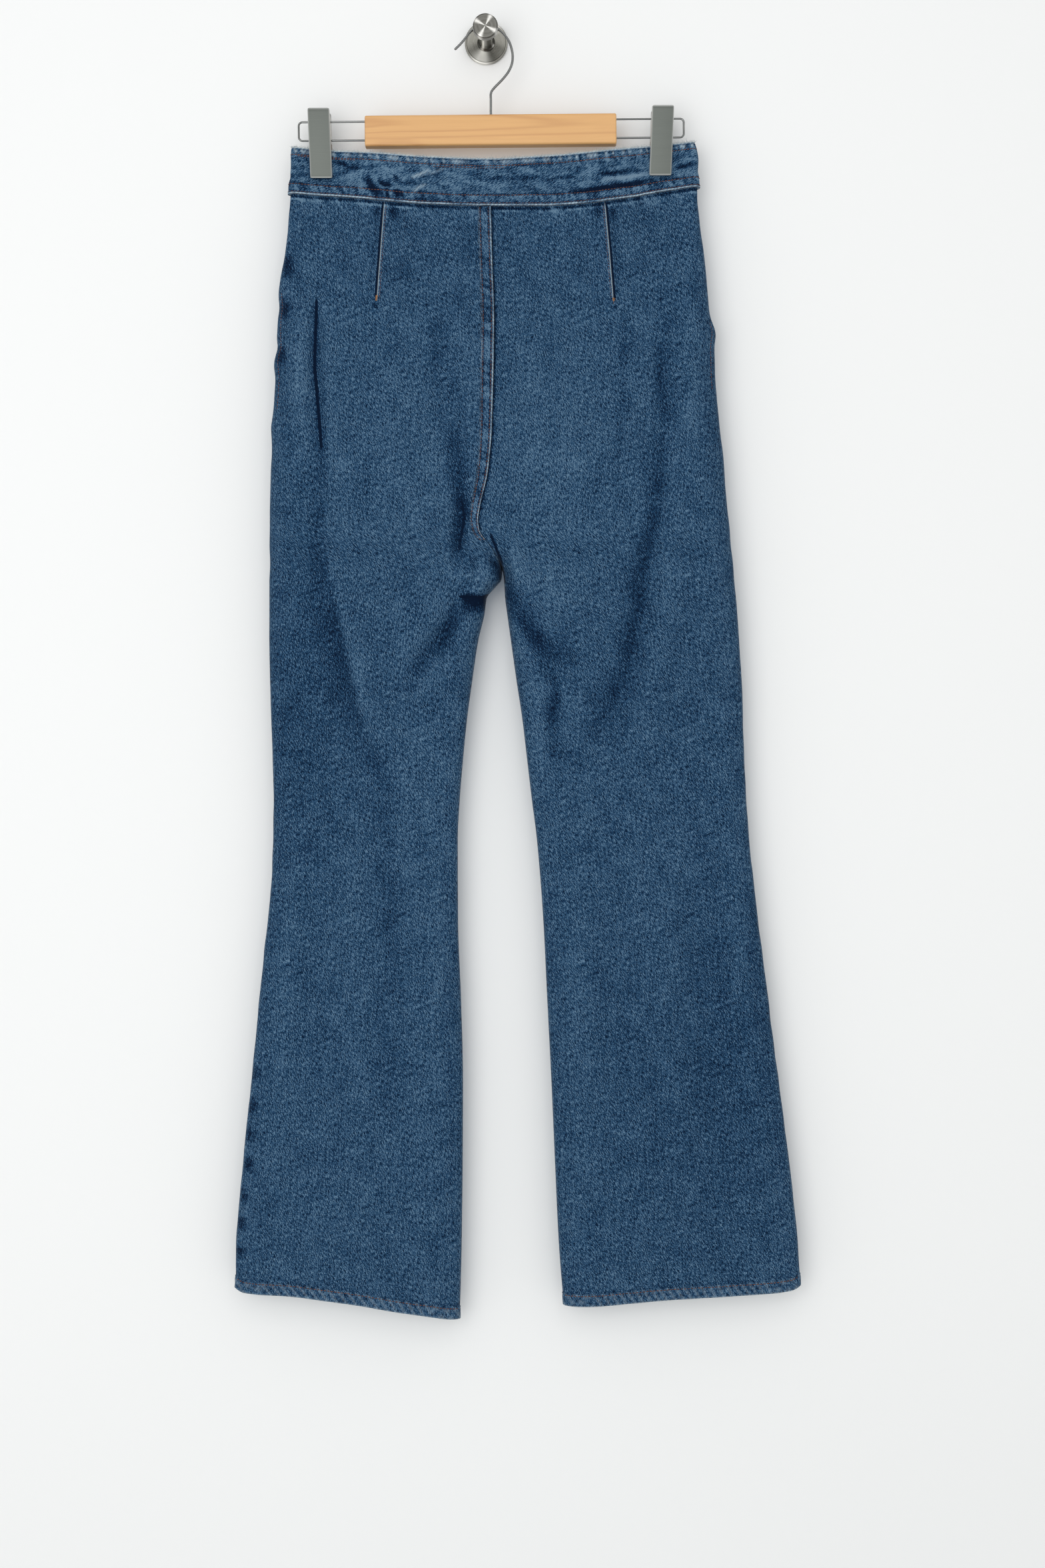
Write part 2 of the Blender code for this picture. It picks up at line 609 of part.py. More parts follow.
# ---------------------------------------------------------------- what holds it
def rail(name, end, start, material):
    """One wire loop: out along the upper line, round the end and back along the lower one."""
    way = 1.0 if end > start else -1.0
    upper, lower = BAR["z"] + RAIL_RISE[0], BAR["z"] + RAIL_RISE[1]
    x_end, r = BAR["x"] + end, RAIL_CORNER
    line = [(BAR["x"] + start, upper)]
    for centre_z, turn in ((upper - r, 0), (lower + r, 1)):
        for k in range(5):
            a = math.radians(90 - 22.5 * k - 90 * turn)
            line.append((x_end - way * r + way * r * math.cos(a), centre_z + r * math.sin(a)))
    line.append((BAR["x"] + start, lower))
    x, z = tilted(*np.array(line).T)
    return tube(name, np.stack([x, np.full_like(x, MID_Y), z], -1), RAIL_RADIUS, material)


def clip(side, at_x, at_z, steel):
    """A pinch clip: a front plate with two ears that the wires pass through, a back plate and its spring."""
    c = CLIP
    half, top, bottom = c["wide"] / 2, at_z + c["tall"] / 2, at_z - c["tall"] / 2
    spring_z = at_z + 13.1
    profile = [  # (distance from the mid plane, height), down the plate's inner face
        (c["top"] - 0.6, top),
        (c["top"], top - 3.0),
        (c["jaw"], bottom + 1.2),
        (c["jaw"] + 1.2, bottom),
    ]

    def plate(name, out):
        outline = [(d, z) for d, z in profile] + [(d + c["wall"], z) for d, z in profile[::-1]]
        points = []
        for x in (-half, half):
            for d, z in outline:
                lean = (z - at_z) * c["lean"] * (-1 if side == "left" else 1)
                points.append((at_x + x + lean, MID_Y + out * d, z))
        n = len(outline)
        faces = [(k, (k + 1) % n, (k + 1) % n + n, k + n) for k in range(n)]
        m = len(profile)
        for k in range(m - 1):  # the ends, as a strip of four-sided faces
            a, b, c2, d = k, k + 1, n - 2 - k, n - 1 - k
            faces += [(a, d, c2, b), (a + n, b + n, c2 + n, d + n)]
        return solid(name, points, faces, steel, smooth=False)

    front = plate(f"clip_{side}_front", -1.0)
    plate(f"clip_{side}_back", 1.0)
    ear = 1.2
    shift = (spring_z - at_z) * c["lean"] * (-1 if side == "left" else 1)
    slope = (c["top"] - c["jaw"]) / (c["tall"] - 4.2)
    for k, x in enumerate((-half + 0.4, half - 0.4 - ear)):
        corners = []
        for z in (spring_z + 13.5, spring_z - 13.5):
            d = c["top"] - slope * (top - 3.0 - z) + c["wall"] / 2
            corners += [(-d, z), (5.4, z)]
        points = [
            (at_x + x + shift + across, MID_Y + d, z)
            for across in (0, ear)
            for d, z in (corners[0], corners[1], corners[3], corners[2])
        ]
        faces = [(0, 1, 2, 3), (7, 6, 5, 4), (0, 4, 5, 1), (1, 5, 6, 2), (2, 6, 7, 3), (3, 7, 4, 0)]
        joined(front, solid(f"ear_{side}_{k}", points, faces, steel, smooth=False), "UNION")
    for k, rise in enumerate(RAIL_RISE):
        x, z = tilted([at_x - 20.0, at_x + 20.0], [BAR["z"] + rise] * 2)
        hole = tube(
            f"hole_{side}_{k}", [(x[0], MID_Y, z[0]), (x[1], MID_Y, z[1])], RAIL_RADIUS + GAP, steel, sides=12
        )
        joined(front, hole, "DIFFERENCE")
    x, z = tilted(at_x + shift, BAR["z"] + (RAIL_RISE[0] + RAIL_RISE[1]) / 2)
    reach = half - 0.4 - ear - GAP
    ends = [(x - reach, MID_Y, z), (x + reach, MID_Y, z)]
    tube(f"clip_{side}_spring", ends, 5.2, steel, sides=20)


def hanger(wood, steel):
    b = BAR
    bar = box(
        "hanger_bar",
        (-b["long"] / 2, -b["deep"] / 2, -b["tall"] / 2),
        (b["long"] / 2, b["deep"] / 2, b["tall"] / 2),
        wood,
        bevel=1.6,
    )
    for vertex in bar.data.vertices:
        x, z = tilted(b["x"] + vertex.co.x / MM, b["z"] + vertex.co.z / MM)
        vertex.co = (x * MM, vertex.co.y + MID_Y * MM, z * MM)
    deep = 14.0
    for name, end in (("left", RAIL_END[0]), ("right", RAIL_END[1])):
        way = math.copysign(1.0, end)
        start = way * (b["long"] / 2 - deep + 1.0)
        rail(f"rail_{name}", end, start, steel)
        for k, rise in enumerate(RAIL_RISE):
            inside, outside = way * (b["long"] / 2 - deep), way * (b["long"] / 2 + 5.0)
            x, z = tilted([b["x"] + inside, b["x"] + outside], [b["z"] + rise] * 2)
            line = [(x[0], MID_Y, z[0]), (x[1], MID_Y, z[1])]
            joined(bar, tube(f"bore_{name}_{k}", line, RAIL_RADIUS + GAP, wood, sides=12), "DIFFERENCE")
    # the hook's shank stands in the bar and its wire goes over the peg
    shank = [(4.75, -84.5), (4.75, -74.0), (4.75, -62.0), (4.85, -55.5)]
    bend = [(7.6, -50.9), (15.6, -42.6), (21.4, -35.1), (24.6, -27.1), (24.9, -18.4), (22.6, -9.4)]
    over = [(18.9, -3.2), (13.6, 2.4), (6.9, 6.5), (-1.4, 7.9), (-8.6, 6.0), (-14.2, 1.7)]
    tip = [(-19.0, -4.4), (-23.4, -9.6), (-28.2, -14.4)]
    line = np.array([(x, MID_Y, z) for x, z in shank + bend + over + tip])
    tube("hook_wire", curve_through(line, per=2), HOOK_RADIUS, steel, sides=10)
    hole = [(4.75, MID_Y, -86.0), (4.75, MID_Y, -60.0)]
    joined(bar, tube("bore_shank", hole, HOOK_RADIUS + GAP, wood, sides=12), "DIFFERENCE")


def wall_hook(steel):
    r, t = PLATE_RADIUS, PLATE_THICK
    plate = [(0, 0), (r, 0), (r, -t + 0.8), (r - 0.8, -t), (0, -t)]
    turned("wall_plate", plate, steel, (0, 0, 0), sides=40)
    p, k, end = PEG_RADIUS, KNOB_RADIUS, -PEG_LONG
    neck = end + KNOB_LONG
    start = -t - GAP
    peg = [(0, start), (p + 2.6, start), (p + 0.8, start - 2.2), (p, start - 6.0), (p, neck + 3.0)]
    peg += [(p + 1.6, neck + 0.8), (k - 0.8, neck), (k, neck - 0.8), (k, end + 1.0), (k - 1.0, end), (0, end)]
    turned("wall_peg", peg, steel, (0, 0, 0), sides=24)


# ---------------------------------------------------------------- build
for old in list(bpy.data.objects):
    bpy.data.objects.remove(old)
collection = bpy.data.collections.new("flared_jeans_on_hanger")
bpy.context.scene.collection.children.link(collection)
cloth_material = new_material("denim", DENIM, roughness=0.9)
steel_material = new_material("steel", STEEL, metallic=1.0, roughness=0.35)
wood_material = new_material("maple", MAPLE, roughness=0.5)
button_material = new_material("button_metal", (0.35, 0.27, 0.18), metallic=1.0, roughness=0.4)
garment(cloth_material, button_material)
clip("left", CLIP_X[0], CLIP_Z[0], steel_material)
clip("right", CLIP_X[1], CLIP_Z[1], steel_material)
hanger(wood_material, steel_material)
wall_hook(steel_material)
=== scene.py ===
# %% [markdown]
# # Flared jeans on a clip hanger
# A pair of high-waisted flared jeans hangs with its back to us from a clip hanger, and the hanger hangs
# from a round wall hook. The imported model gives the plain solids and where everything is.
# This script dresses them: thin cloth with its creases, thread, frayed edges, wood grain and steel.
# It loads the frame first. Nothing may grow far past it.

# %% Load the frame
import math

import bpy
import numpy as np
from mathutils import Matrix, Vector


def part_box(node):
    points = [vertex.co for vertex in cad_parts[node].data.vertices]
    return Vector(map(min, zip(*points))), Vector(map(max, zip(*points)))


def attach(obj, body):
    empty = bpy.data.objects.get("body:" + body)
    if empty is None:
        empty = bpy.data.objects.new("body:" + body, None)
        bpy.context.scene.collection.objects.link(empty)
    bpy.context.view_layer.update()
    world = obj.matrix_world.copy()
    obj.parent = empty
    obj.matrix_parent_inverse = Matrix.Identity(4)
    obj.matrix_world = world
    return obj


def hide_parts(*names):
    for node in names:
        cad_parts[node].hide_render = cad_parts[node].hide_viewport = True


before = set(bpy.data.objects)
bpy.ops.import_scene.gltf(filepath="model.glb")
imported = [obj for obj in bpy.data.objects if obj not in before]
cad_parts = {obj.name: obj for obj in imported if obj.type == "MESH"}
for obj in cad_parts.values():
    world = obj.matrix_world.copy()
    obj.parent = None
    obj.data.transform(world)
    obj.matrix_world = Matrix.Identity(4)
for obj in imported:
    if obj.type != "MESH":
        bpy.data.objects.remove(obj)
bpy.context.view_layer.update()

MM = 0.001

# %% [markdown]
# ## Sizes
# A garment maker works from a measurement sheet. These are the same numbers as the solids have, in
# millimetres: the seam levels, how tall the waistband is, where the clips pinch, the hanger and the hook.
# One set of numbers keeps every piece where its neighbour expects it.

# %% The measurement sheet
GAP = 0.3  # between neighbouring pieces
CLOTH = 1.2  # the panels' wall, under the relief that stands on it
BAND_WALL = 2.0  # waistband, two layers of cloth
BAND_TALL = 43.0
SEAM_WALL = 1.2
BAND_ROW_HIGH, BAND_ROW_LOW, BAND_ROW_EDGE = 36.2, 9.3, 2.3  # rows of stitches, over the band's lower edge
FELL_ROWS = (0.16, 0.80)  # the felled seam's rows, as shares of the strip's width
HEM_ROW = 9.6  # the hem's row of stitches, over the hem's edge
HEM_TALL, HEM_EXTRA = 11.0, 0.7
MID_Y = -28.0  # the plane midway between front and back
BAND_LOW = -151.0
CROTCH_TOP, CROTCH_LOW = -464.3, -504.9
FRONT_JOIN = -500.9  # where the front's centre line meets the inside legs
HEM_LEVEL = -1175.0
PINCH_X, PINCH_WIDE = (-153.2, 163.0), 40.0
FRONT_SHARE = 0.8
FLY_TALL = 165.0
FRONT_DROP = 3.0  # the front waistband's top edge sits this much lower
BAR = dict(x=4.6, z=-90.8, long=233.6, tall=28.5, deep=13.0)
TILT = math.radians(0.55)
RAIL_RADIUS, RAIL_CORNER = 0.95, 3.6
RAIL_RISE, RAIL_END = (10.0, -7.4), (-178.6, 179.7)
CLIP = dict(wide=20.5, tall=64.2, wall=1.4, top=8.4, jaw=4.9, lean=0.039)
CLIP_X, CLIP_Z = (-153.7, 163.3), (-103.9, -101.4)
SPRING_RISE = 13.1  # the spring's axis over the clip's middle
HOOK_RADIUS = 1.2
PLATE_RADIUS, PLATE_THICK = 20.1, 4.0
PEG_RADIUS, PEG_LONG = 6.1, 50.0
KNOB_RADIUS, KNOB_LONG = 11.6, 8.5
print("band", BAND_TALL, "mm tall, crotch", CROTCH_TOP, "mm, hem", HEM_LEVEL, "mm")

# %% [markdown]
# ## The pattern tables
# A pattern cutter marks a few points down each edge and draws a fair curve through them. The tables below
# hold those points: the outside and inside edges, the depth of the form, the waistband's two edges and the
# hem. A fold is a bent line through three points with a width on each side and a height.

# %% Tables of points
def table(columns, rows):
    """Named columns of a short table."""
    return dict(zip(columns.split(), np.array(rows, float).T))


# The garment's outer edges, and the depth of the plain form behind the mid plane, by height.
# round_out and round_in are how far the form takes to turn over at the side and at the inside leg.
OUTLINE = table("z left right", [
    (-101, -179.6, 194), (-118.2, -180.3, 197), (-151.7, -181.6, 197), (-204.4, -186.5, 202.8),
    (-241.6, -192.7, 206.6), (-316, -195.6, 212.8), (-390.4, -199.3, 219.8),
    (-464.8, -200.8, 227.2), (-550.3, -201.1, 235), (-601.2, -200.8, 238.1),
    (-675.6, -198.2, 240.7), (-712.8, -197.4, 242.4), (-750, -197.7, 245), (-787.2, -199.5, 248.9),
    (-861.6, -207, 258.2), (-936, -214.4, 267.5), (-1010.4, -221.9, 277.4),
    (-1084.8, -229.1, 286.5), (-1122, -232, 290.3), (-1175, -233, 293.1), (-1200, -233, 293.4),
])
INSIDE = table("z left right", [
    (-101, 5.1, 5.1), (-154.8, 5.1, 5.1), (-216.8, 6.6, 6.6), (-265.8, 8.2, 8.2),
    (-365.6, 6.3, 6.3), (-409, 2.6, 2.6), (-443.6, -5, -5), (-454.4, -6.5, -6.5),
    (-464.3, -5.3, -5.3), (-478.8, 5, 5), (-491.1, 12.3, 12.3), (-500.9, 15.3, 15.9),
    (-508, 14.7, 16.8), (-513.1, 10.6, 17.2), (-518.7, 5.7, 17.5), (-524.3, 1.2, 17.8),
    (-540.4, -1.1, 19.9), (-564, -6.7, 23.2), (-601.2, -12.3, 28.4), (-638.4, -17.3, 34),
    (-675.6, -21, 38.4), (-712.8, -24.1, 42.8), (-750, -25.9, 47.5), (-824.4, -25.6, 53.4),
    (-898.8, -22.8, 57.1), (-973.2, -21, 60.9), (-1047.6, -21.3, 64.2), (-1122, -22.2, 67.7),
    (-1200, -24.2, 73.9),
])
# the front's centre line runs straight down and joins the inside legs at the crotch
FRONT_CENTRE = table("z x", [(-101, 5.1), (-400, 5.6), (-450, 7), (-491.1, 12.3), (FRONT_JOIN, 15.6)])
DEPTH = table("z back round_out round_in pinch", [
    (-100, 10.5, 6, 40, 0.8), (-138, 11, 6.5, 40, 0.8), (-175, 13, 11, 40, 0.55),
    (-240, 15.5, 22, 40, 0.12), (-310, 17.5, 28, 40, 0), (-400, 20, 30, 34, 0),
    (-470, 21, 30, 20, 0), (-520, 19.5, 30, 15, 0), (-570, 17, 29, 24, 0), (-650, 13.5, 26, 26, 0),
    (-760, 11, 24, 24, 0), (-900, 10.5, 24, 24, 0), (-1050, 11, 26, 26, 0), (-1200, 12, 28, 28, 0),
])
# The back waistband's top edge and lower edge: height against x.
BAND_EDGE = table("x top low", [
    (-181, -106.2, -150.1), (-131.3, -110.2, -153.9), (-95.4, -113.9, -158.9),
    (-56.3, -117, -162.1), (3.8, -119.1, -164), (50.9, -116.8, -164), (95, -113, -161.3),
    (131.5, -107.9, -155.1), (160.7, -104.3, -148.9), (197, -101.2, -143.8),
])
# The hems' lower edge against the share of the way from the side to the inside leg.
HEM_EDGE = table("share left right", [
    (0, -1165.5, -1163.5), (0.04, -1169, -1167), (0.25, -1171.9, -1171), (0.4, -1175.9, -1173.1),
    (0.56, -1180.6, -1175.2), (0.72, -1186.4, -1178.4), (0.86, -1190.5, -1181.1),
    (0.97, -1194, -1181.8), (1, -1194.5, -1181.5),
])
DARTS = table("z left right", [(-153.1, -93.4, 110.1), (-207.4, -97.0, 114.3), (-255.5, -99.9, 117.8)])
# Ridges (height over 0) and valleys (under 0): a bent line through three points, and how far the slope
# reaches on each side of it, as seen on a line that runs down.
FOLD = "x0 z0 x1 z1 x2 z2 left right height"
BACK_FOLDS = table(FOLD, [
    (-93.4, -153.1, -97, -207.4, -99.9, -255.5, 5, 6, 1.6),  # dart, left
    (110.1, -153, 114.3, -207.3, 117.8, -255.4, 6, 5, 1.6),  # dart, right
    (-155.7, -227.8, -156.3, -313.4, -148.6, -412.9, 8, 8, -4.6),  # crease down the left hip
    (-148.7, -383.1, -151.1, -457.5, -156.3, -561.2, 12, 12, -3),
    (-170.5, -253.2, -172.1, -333.3, -168, -403, 9, 9, 2.2),
    (-21.6, -398, -24.1, -457.5, -26, -502, 8, 9, -5.4),  # dent beside the centre seam
    (-13.5, -502, 0.3, -507.9, 12.2, -501, 11, 14, 5.5),  # the slack cloth over the left leg
    (-22.5, -533.6, -5.6, -536.5, 8.2, -534.6, 9, 8, -7),
    (-16.5, -519.8, -43.3, -564.2, -67.2, -598.8, 9, 12, -6),  # valley from it down the thigh
    (-39.3, -513.8, -65.1, -557.3, -91, -594.8, 14, 13, 3.2),
    (-148.2, -529.6, -128.8, -622.6, -108.1, -690, 14, 10, -3.4),  # thigh, left
    (-132.4, -529.6, -111.9, -622.6, -89.2, -690, 10, 16, 3.6),
    (155.7, -442.7, 139.1, -571.1, 111.5, -680.1, 14, 14, -4.2),  # thigh, right
    (176.5, -472.4, 162.9, -581, 139.3, -690, 16, 18, 3),
    (19.2, -494.1, 41.9, -556.3, 65.8, -610.7, 9, 11, -5),  # inside of the right thigh
    (61.9, -610.7, 65, -645.4, 66.2, -700, 9, 10, -3.4),
    (24.1, -468.4, 27.1, -502, 31, -546.4, 6, 13, 4),  # the right leg's edge over the seam
    (158.1, -218.5, 163.8, -343.3, 164.6, -442.7, 14, 14, -2.2),
    (184.2, -218.7, 188.6, -333.3, 186.4, -442.7, 12, 14, 2),
    (-175.4, -166.6, -175, -203.4, -173.2, -251.2, 8, 9, -1.4),
    (-45.2, -265.5, -37.1, -319.4, -29.1, -375.1, 12, 12, -1.8),
    (59.8, -333.3, 71.6, -403, 79.5, -482.3, 34, 34, 2.2),  # seat
    (-82.9, -333.3, -76.9, -403, -72.9, -482.3, 34, 34, 2),
    (-108, -650.3, -90.3, -792.5, -89.3, -948.7, 20, 18, -3),  # calf, left
    (-151, -779.6, -149, -928.8, -160.9, -1087.8, 20, 20, -2.4),
    (-123.1, -739.8, -119.2, -928.8, -127.1, -1127.5, 22, 22, 2.4),
    (-174.7, -719.9, -180.9, -898.9, -194.7, -1077.9, 16, 16, 2),
    (-51.5, -759.7, -49.6, -928.8, -53.5, -1117.6, 18, 16, 2.2),
    (119.5, -700, 127.5, -859.1, 133.5, -1018.2, 22, 20, -3),  # calf, right
    (199.1, -759.7, 205.1, -918.8, 220.9, -1087.8, 22, 22, -2.8),
    (159.3, -739.8, 169.3, -928.8, 181.1, -1127.5, 24, 24, 2.6),
    (83.7, -759.7, 89.7, -928.8, 97.6, -1117.6, 18, 18, 2.4),
    (226.8, -700, 236.9, -879, 250.8, -1077.9, 14, 14, 1.8),
])
FRONT_FOLDS = table(FOLD, [
    (-60, -440, -90, -520, -112, -600, 16, 16, -2.4),
    (70, -440, 102, -520, 128, -600, 16, 16, -2.4),
    (-105, -640, -112, -860, -124, -1120, 26, 26, 2.2),
    (135, -640, 150, -860, 172, -1120, 26, 26, 2.2),
    (-62, -700, -66, -880, -70, -1060, 20, 20, -1.8),
    (92, -700, 104, -880, 116, -1060, 20, 20, -1.8),
])
print("outline points:", len(OUTLINE["z"]), "inside points:", len(INSIDE["z"]), "folds:", len(BACK_FOLDS["z0"]))

# %% [markdown]
# ## Fair curves and folds
# A fair curve passes through every marked point and never swings past one, which a plain spline would do.
# A fold is a bell across its bent line. Whole arrays go through these functions at once.

# %% Curves, easing and folds
def along(rows, key, at, by="z"):
    """The column at each place, as a smooth curve through the table's rows that never overshoots."""
    x, y = rows[by], rows[key]
    if x[0] > x[-1]:
        x, y = x[::-1], y[::-1]
    step = np.diff(x)
    rise = np.diff(y) / step
    slope = np.zeros(len(x))
    same = rise[:-1] * rise[1:] > 0
    mean = 2 * rise[:-1] * rise[1:] / np.where(same, rise[:-1] + rise[1:], 1.0)
    slope[1:-1] = np.where(same, mean, 0.0)
    slope[0], slope[-1] = rise[0], rise[-1]
    at = np.clip(at, x[0], x[-1])
    k = np.clip(np.searchsorted(x, at, side="right") - 1, 0, len(x) - 2)
    t = (at - x[k]) / step[k]
    out = (1 + 2 * t) * (1 - t) ** 2 * y[k] + t * (1 - t) ** 2 * step[k] * slope[k]
    return out + t * t * (3 - 2 * t) * y[k + 1] + t * t * (t - 1) * step[k] * slope[k + 1]


def ease(value):
    """0 up to 0, 1 from 1 on, and a smooth S between them."""
    value = np.clip(value, 0.0, 1.0)
    return value * value * (3 - 2 * value)


def bell(value, half):
    """1 at zero, falling away on both sides over `half`."""
    return np.exp(-((value / half) ** 2))


def unit(vectors):
    """The same directions, one long."""
    return vectors / np.linalg.norm(vectors, axis=-1, keepdims=True)


def to_bent_line(rows, i, x, z):
    """Each point's distance from the table's bent line i, its side of it (1 or -1), and its place along it, 0 to 1."""
    away, side, place = np.full(x.shape, 1e9), np.ones_like(x), np.zeros_like(x)
    for leg in (0, 1):
        ax, az, bx, bz = (rows[key][i] for key in (f"x{leg}", f"z{leg}", f"x{leg + 1}", f"z{leg + 1}"))
        ux, uz = bx - ax, bz - az
        t = np.clip(((x - ax) * ux + (z - az) * uz) / (ux * ux + uz * uz), 0, 1)
        dx, dz = x - ax - t * ux, z - az - t * uz
        here = np.hypot(dx, dz)
        nearer = here < away
        away = np.where(nearer, here, away)
        side = np.where(nearer, np.where(ux * dz - uz * dx > 0, 1.0, -1.0), side)
        place = np.where(nearer, (leg + t) / 2, place)
    return away, side, place


def fold_height(rows, x, z, key="height"):
    """Height over the plain form: each fold is a bell across its bent line, fading to both its ends."""
    total = np.zeros_like(x)
    for i in np.flatnonzero(rows[key]):
        away, side, place = to_bent_line(rows, i, x, z)
        reach = np.where(side > 0, rows["right"][i], rows["left"][i])
        total += rows[key][i] * bell(away, reach) * np.sin(np.pi * place) ** 0.6
    return total


def smoothed(values, reach):
    """The mean over a square of 2 * reach + 1 neighbours, from running sums along each axis."""
    span = 2 * reach + 1
    for axis in (0, 1):
        size = values.shape[axis]
        before = np.repeat(values.take([0], axis), reach + 1, axis)
        after = np.repeat(values.take([-1], axis), reach, axis)
        running = np.cumsum(np.concatenate([before, values, after], axis), axis)
        values = (running.take(range(span, span + size), axis) - running.take(range(size), axis)) / span
    return values


def soft_noise(u, v, wide, tall, seed):
    """Smooth heights from -1 to 1: random numbers on a lattice with cells wide by tall, eased from each to the next."""
    size = 97
    lattice = np.random.default_rng(seed).uniform(-1, 1, (size, size))
    a, b = u / wide, v / tall
    i, j = np.floor(a).astype(int), np.floor(b).astype(int)
    s, t = ease(a - i), ease(b - j)
    low, high = (
        lattice[i % size, row % size] * (1 - s) + lattice[(i + 1) % size, row % size] * s for row in (j, j + 1)
    )
    return low * (1 - t) + high * t


def ripple(u, wide, seed):
    """Soft noise along one direction only."""
    return soft_noise(u, 0 * u, wide, 1.0, seed)


print("bell at its middle:", round(float(fold_height(BACK_FOLDS, np.array([-97.9]), np.array([-204.0]))[0]), 2), "mm")

# %% [markdown]
# ## Sharp creases
# The solids carry the broad folds. Worn denim also has narrow creases with a dark bottom, partly painted shade, and a
# faded crest, which would need far too many faces in a solid. Here each is a thin bell a few millimetres wide. Faded
# dye and the shade painted into folds, dents and under edges need no crease, so they have tables of their own.

# %% Sharp creases, worn lines, painted shade and places where the edge swells
BACK_SHARP = table(FOLD, [
    (-94.3, -160, -97.7, -206, -101, -251, 1.8, 2.6, 0.7),  # dart, left
    (-98.2, -160, -101.6, -206, -104.8, -251, 2.6, 1.8, -0.9),
    (111, -160, 115.3, -206, 119, -252, 2.6, 1.8, 0.7),  # dart, right
    (114.9, -160, 119.2, -206, 122.9, -252, 1.8, 2.6, -0.9),
    (-155.5, -251.2, -157.1, -309.3, -150.1, -381.2, 2.9, 2.6, -0.29),  # left hip
    (-160.2, -251.2, -161.8, -309.3, -155, -381.2, 3.3, 2.6, 0.13),
    (-150.2, -367.2, -153.1, -442.7, -158.6, -516.6, 5.9, 5.5, -0.21),
    (-21.6, -426.9, -20.5, -452.7, -26.3, -484.3, 2.9, 3.1, -0.67),  # beside the centre seam
    (-21.5, -519.7, -3.6, -519.7, 11.3, -513, 2.4, 2.6, 1.2),  # lip of slack cloth over the left leg
    (-21.5, -526.6, -3.2, -527.2, 10.3, -522, 2.6, 2.4, -2.4),
    (-22.4, -531.1, -34.7, -555.8, -48.3, -580.4, 3.7, 4.8, -0.67),
    (-29.4, -527.7, -42.7, -551.8, -57.3, -575.4, 4.8, 3.7, 0.34),
    (-151.7, -478.7, -137.6, -546.4, -117.3, -648, 5.9, 4.4, -0.59),  # left thigh
    (-144, -476.7, -129.6, -544.4, -109.3, -646, 4.4, 6.6, 0.38),
    (-106.4, -626.4, -89.7, -755.9, -89.7, -860.7, 6.6, 7.3, -0.34),
    (158.6, -440, 146.1, -497.5, 130.2, -580.4, 6.6, 6.6, -0.59),  # right thigh
    (135.2, -558.7, 119.2, -608, 95.8, -660.3, 6.6, 6.6, -0.42),
    (163.3, -282.3, 160.8, -324.8, 166.4, -400, 4.8, 4.8, -0.38),
    (61.3, -586.4, 66.2, -614.1, 60.7, -646.1, 4.8, 4.4, -0.42),
    (17, -508.4, 29.9, -544.1, 53.3, -569.3, 4.8, 5.9, -0.59),  # inside of the right thigh
    (41, -558.8, 63.8, -577.2, 88.4, -585.2, 5.5, 5.5, -0.55),
    (29.3, -500.3, 45.4, -530.9, 74.6, -558.3, 5.5, 5.5, 0.38),
    (-43.8, -250.6, -45.7, -296.7, -52.4, -331.7, 4.4, 4.8, -0.29),
    (-29.1, -301, -23.6, -355.7, -27.2, -399.3, 4.4, 4.8, -0.29),
])
FRONT_SHARP = table(FOLD, [
    (-20, -470, -62, -478, -110, -470, 3, 3, -1.2),  # set-in creases at the top of the thighs
    (-18, -484, -66, -496, -118, -492, 3, 3, -1.1),
    (40, -468, 86, -478, 140, -470, 3, 3, -1.2), (42, -486, 90, -498, 146, -494, 3, 3, -1.1),
    (-150, -740, -110, -752, -66, -744, 4, 4, -0.9),
    (94, -744, 150, -752, 200, -742, 4, 4, -0.9),
])
SHARP = dict(back=BACK_SHARP, front=FRONT_SHARP)
# side 0 is the left edge and 1 the right one; out is how far the edge swells outwards
EDGE_SWELL = table("side z half out", [
    (0, -308, 9, 1.6), (0, -256, 8, -1.2), (0, -292, 6, -1.2), (0, -366, 9, 1.2), (1, -278, 11, 4),
    (1, -300, 16, 1.4), (1, -392, 14, 0.8),
])
